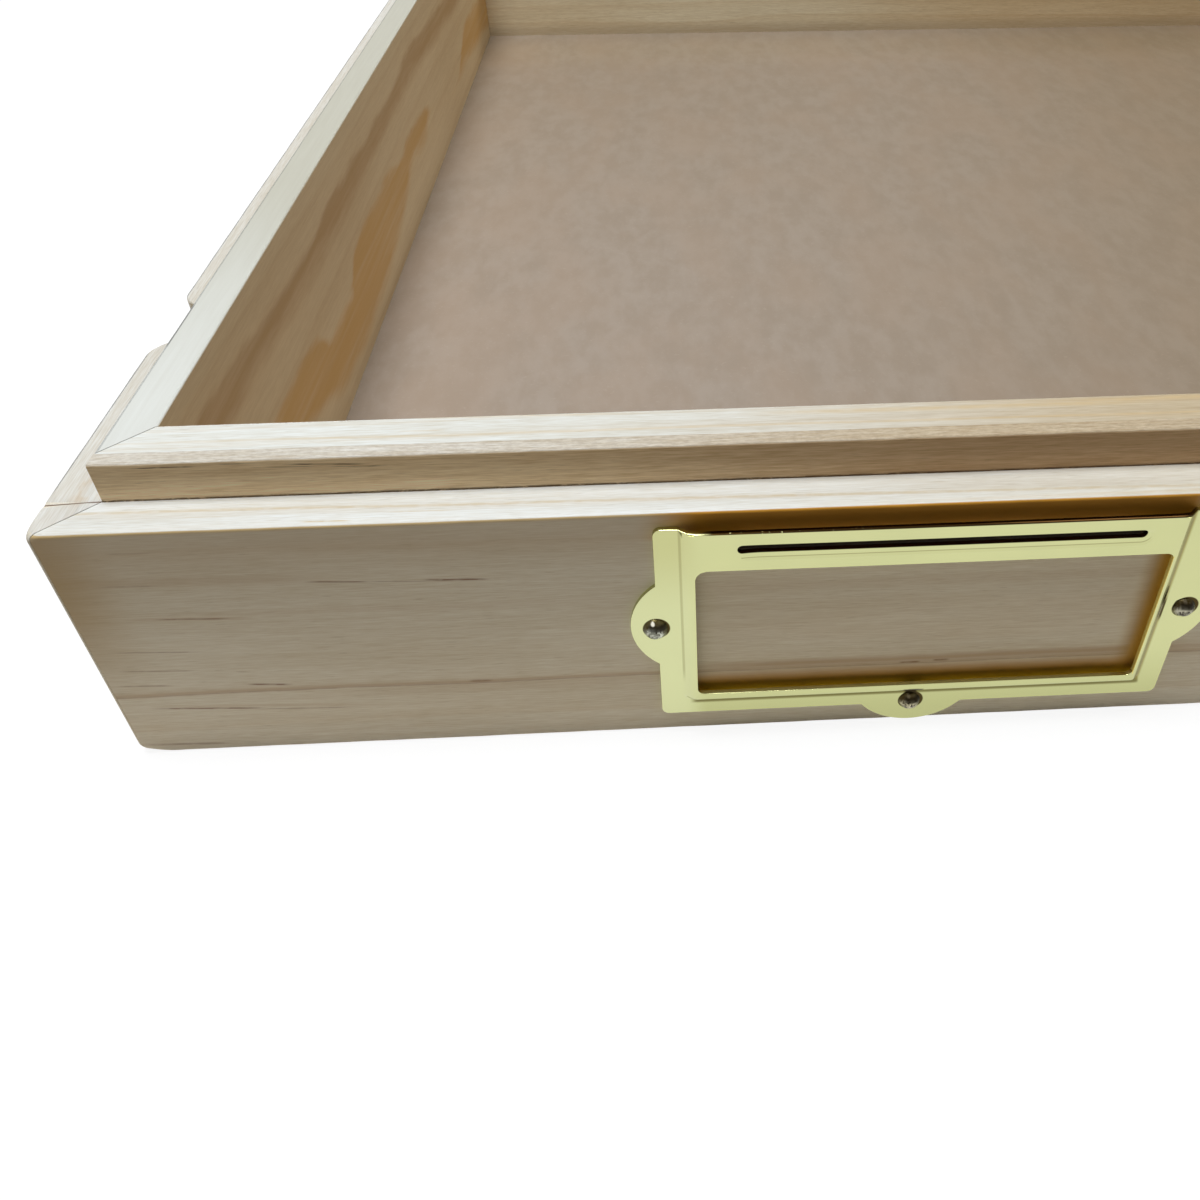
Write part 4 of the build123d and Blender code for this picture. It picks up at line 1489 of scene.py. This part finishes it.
def pin(name, u, v, size, seed, material):
    """A hammered round head on a pointed shank: rings of points, from the crown to the point."""
    chance = np.random.default_rng(seed)
    turn = np.linspace(0, 2 * math.pi, AROUND, endpoint=False)
    share = np.sin(np.linspace(0.0, 1.0, 16) * math.pi / 2)[:, None]
    wobble = 1.0
    for waves, swing in ((2, 0.03), (5, 0.02)):
        wobble = wobble + swing * np.sin(waves * turn + chance.uniform(0, 6))
    radius = size * HEAD_RADIUS * share * wobble
    x, y = radius * np.cos(turn), radius * np.sin(turn)
    sphere = (HEAD_RADIUS**2 + HEAD_HEIGHT**2) / (2 * HEAD_HEIGHT)
    dome = HEAD_HEIGHT - sphere + np.sqrt(np.maximum(sphere**2 - (HEAD_RADIUS * share) ** 2, 0)) + 0 * turn
    for angle, tilt, cut in zip(chance.uniform(0, 2 * math.pi, FLATS), chance.uniform(0.15, 0.75, FLATS),
                                chance.uniform(0.90, 1.0, FLATS)):
        aside = x * np.cos(angle) + y * np.sin(angle)
        touch = HEAD_HEIGHT - sphere + sphere / np.cos(tilt)
        dome = np.minimum(dome, cut * touch - aside * np.tan(tilt))
    rings = [(x, y, np.maximum(dome, 0.0))]
    for ring, height in ((size * HEAD_RADIUS * wobble, UNDERSIDE), (SHANK_RADIUS, UNDERSIDE),
                         (SHANK_RADIUS, SHANK_POINT - SHANK_LENGTH), (SHARP, -SHANK_LENGTH)):
        rings.append(((ring * np.cos(turn))[None], (ring * np.sin(turn))[None], np.full((1, AROUND), height)))
    x, y, height = (np.concatenate([ring[i] for ring in rings]) for i in range(3))
    points = place_on_front(u + x, v + y, SHEET + height).reshape(-1, 3)
    index, quads = ring_faces(len(x), AROUND)
    faces = quads[:, [0, 3, 2, 1]].tolist() + [index[-1].tolist()]
    return make_mesh(name, points, faces, material, smooth_angle=28.0)


# %% Plated steel


def hammered_steel(name, place, shine):
    """Plated steel round one pin's middle, with painted reflections and shade: dark towards the rim and along
    its top, bright flats and a glint; and nicks.
    """
    material, tree, shader = new_material(f"pin_steel_{name}")
    space, u, v = on_holder(tree)
    patch, nick = noise(space, (0.8, 0.8, 0.8)), noise(space, (0.35, 0.35, 0.8))
    color = mix(step(patch, 0.38, 0.58), (0.19, 0.19, 0.15), (0.58, 0.59, 0.49))
    # Painted highlights: bright flats.
    color = paint(color, (0.85, 0.86, 0.78), step(patch, 0.60, 0.68))
    color = paint(color, (0.04, 0.03, 0.02), step(nick, 0.54, 0.66))
    # Painted reflection and shade: dark along the top, towards the rim and in a line across the head.
    top = step(apart(u, v, (place[0] - 0.25, place[1] - 0.75)), 1.15, 2.0)
    color = paint(color, (0.05, 0.035, 0.01), top, 0.93)
    color = paint(color, (0.10, 0.08, 0.03), step(apart(u, v, place), 1.55, 1.9), 0.6)
    color = paint(color, (0.015, 0.012, 0.008), line_at(v, place[1] + 0.85, 0.7),
                  band(u, place[0] - 1.0, place[0] + 1.7, 0.3), 0.85)
    glint = band(apart(u, v, (place[0] - 0.35, place[1] + 1.55)), high=0.27, soft=0.12)
    color = paint(color, (0.95, 0.92, 0.80), glint, 0.9 * shine[0]**8)
    give(shader, {"Base Color": tinted(color, shine), "Metallic": 1.0,
                        "Roughness": step(patch, 0.3, 0.7, 0.25, 0.42),
                        "Normal": bump(nick, 0.5, 0.0001)})
    return material


# %% Make the pins
PIN_LOOKS = {"left": (1.0, WHITE), "right": (0.92, (0.68, 0.63, 0.57)), "bottom": (0.92, (0.75, 0.67, 0.52))}
for seed, (name, place) in enumerate(PINS.items(), start=5):
    size, shine = PIN_LOOKS[name]
    piece = pin(f"hammered_pin_{name}", *place, size, seed, hammered_steel(name, place, shine))
    fit(piece, "case", "pin_steel", f"label_pin_{name}")

# %% [markdown]
# ## Lid
#
# The lid's rails are swept like the boards, with a richer profile: a leg that goes round the lip, a recess
# that clears it, and a rebate for the glass. They are worked out as they sit on the tray and then turned
# half a turn about the line between tray and lid, which is how the lid lies on the table.

# %% Lid profiles and the turn
LID_TOP = LEDGE + high("lid_front_rail")[2] - low("lid_front_rail")[2]
LID_BEHIND = BACK + low("lid_back_rail")[1]
RAIL_WIDTH = 17.0
GLASS_REBATE = 8.0
RECESS_TOP = LIP + 0.3
SHELF = LID_TOP - high("glass_pane")[2]
BEAD_FOOT = LID_TOP - low("glass_pane")[2]
LID_FIT = 0.4
OPENING_X = HALF_WIDTH - RAIL_WIDTH
OPENING_Y = BACK - RAIL_WIDTH
LID_INNER = (OPENING_X, -OPENING_Y, OPENING_Y)


def turn_over(points):
    """Half a turn about the line between tray and lid: from closed to lying upside down behind the tray."""
    return np.stack([points[..., 0], LID_BEHIND - points[..., 1], LID_TOP - points[..., 2]], axis=-1)


def rail_profile(leg):
    """Loop of a lid rail: outer face, top, rebate for the glass, recess over the lip, leg."""
    loop = quarter((ARRIS, LEDGE + ARRIS), ARRIS, 270)
    loop += quarter((FOOT_ROUND, LID_TOP - FOOT_ROUND), FOOT_ROUND, 180)
    inner = RAIL_WIDTH - GLASS_REBATE
    loop += [(inner, LID_TOP), (inner, SHELF), (RAIL_WIDTH, SHELF), (RAIL_WIDTH, RECESS_TOP)]
    return loop + [(leg, RECESS_TOP), *quarter((leg - LIP_ARRIS, LEDGE + LIP_ARRIS), LIP_ARRIS, 0)]


# %% Profile of the beads
BEAD_WIDTH = 6.0
BEAD_EASE = 1.2
BEAD_FACES = (OPENING_X + GLASS_REBATE, -OPENING_Y - GLASS_REBATE, OPENING_Y + GLASS_REBATE)
BEAD_INNER = (BEAD_FACES[0] - BEAD_WIDTH, BEAD_FACES[1] + BEAD_WIDTH, BEAD_FACES[2] - BEAD_WIDTH)


def bead_profile():
    """Loop of a glazing bead, eased towards the glass."""
    eased = quarter((BEAD_WIDTH - BEAD_EASE, LID_TOP - BEAD_EASE), BEAD_EASE, 90)
    return [(0.0, BEAD_FOOT), (0.0, LID_TOP), *eased, (BEAD_WIDTH, BEAD_FOOT)]


# %% Make the rails and the beads
RAIL_EARLY, BEAD_EARLY = (0.86, 0.82, 0.71), (0.87, 0.83, 0.72)
long_rail, short_rail, long_bead, short_bead = (
    pine(name, grain, heart, gap, early, WALL_LATE, rings) for name, grain, heart, gap, early, rings in (
        ("lid_pine_long", "x", (400.0, 90.0), 4.2, RAIL_EARLY, 0.4),
        ("lid_pine_short", "y", (-320.0, 70.0), 3.8, RAIL_EARLY, 0.4),
        ("bead_pine_long", "x", (500.0, 30.0), 2.6, BEAD_EARLY, 0.35),
        ("bead_pine_short", "y", (-300.0, 30.0), 2.8, BEAD_EARLY, 0.35)))
for side, number in SIDES.items():
    rail_pine, bead_pine = (long_rail, long_bead) if side in ("front", "back") else (short_rail, short_bead)
    leg = (WALL_FRONT - FRONT if side == "front" else HALF_WIDTH - WALL_X) - LID_FIT
    rail = board(f"{side}_rail_of_lid", side, rail_profile(leg), OUTER_FACES, LID_INNER, CORNER_ROUND,
                 rail_pine, seed=number + RAIL_SEED, place=turn_over)
    fit(rail, "lid", "pine_lid", f"lid_{side}_rail")
    bead = board(f"{side}_bead_of_lid", side, bead_profile(), BEAD_FACES, BEAD_INNER, 0.0,
                 bead_pine, seed=number + BEAD_SEED, uneven=0.0, place=turn_over)
    fit(bead, "lid", "pine_bead", f"{side}_glazing_bead")

# %% [markdown]
# The beads are held by wire nails driven sideways, with their heads just proud of the wood.

# %% Nails of the beads
NAIL_LENGTH, NAIL_FROM_CORNER, NAIL_SPACING = 12.0, 35.0, 110.0


def wire_nail(length, proud=0.05):
    """Profile of a flat-headed nail turned round its axis: rings of (radius, depth)."""
    head, shank, under = 1.0, 0.55, 0.6
    rings = [(SHARP, -proud), (0.85 * head, -proud), (head, 0.08 - proud), (head, under), (shank, under),
             (shank, length - 1.2), (SHARP, length)]
    turn = np.linspace(0, 2 * math.pi, 16, endpoint=False)
    radius, depth = (np.array(column)[:, None] for column in zip(*rings))
    return np.stack([radius * np.cos(turn), radius * np.sin(turn), depth + 0 * turn], axis=-1)


def spaced(half_length):
    """Even places along a side, close to the wanted spacing."""
    end = half_length - NAIL_FROM_CORNER
    return np.linspace(-end, end, max(1, round(2 * end / NAIL_SPACING)) + 1)


def bead_nails(material):
    """All nails of the beads in one mesh, each driven outwards through its bead."""
    aside, up, depth = np.moveaxis(wire_nail(NAIL_LENGTH), -1, 0)
    height = (BEAD_FOOT + LID_TOP) / 2 + up
    groups = [(sign * (BEAD_INNER[0] + depth), y + aside, height)
              for y in spaced(BEAD_INNER[2]) for sign in (-1, 1)]
    groups += [(x + aside, sign * (BEAD_INNER[2] + depth), height)
               for x in spaced(BEAD_INNER[0]) for sign in (-1, 1)]
    faces = []
    for group in range(len(groups)):
        index, quads = ring_faces(*depth.shape, start=group * depth.size)
        faces += [*quads.tolist(), index[0].tolist(), index[-1].tolist()]
    points = np.concatenate([np.stack(group, axis=-1).reshape(-1, 3) for group in groups])
    return make_mesh("wire_nails_of_beads", turn_over(points), faces, material)


fit(bead_nails(brad_steel), "lid", "steel", "glazing_bead_brads")

# %% [markdown]
# ## Glass
#
# Float glass is clear from the front and green along its edge, because light travels a long way through it
# there. A pale green volume tint would cost render time, so the tint sits in the transmission colour.

# %% Glass


def glass():
    """Clear float glass with a trace of green."""
    material, tree, shader = new_material("glass")
    give(shader, {"Base Color": (0.94, 0.985, 0.965), "Transmission Weight": 1.0, "Roughness": 0.0,
                        "IOR": 1.5})
    return material


dress("glass_pane", glass())
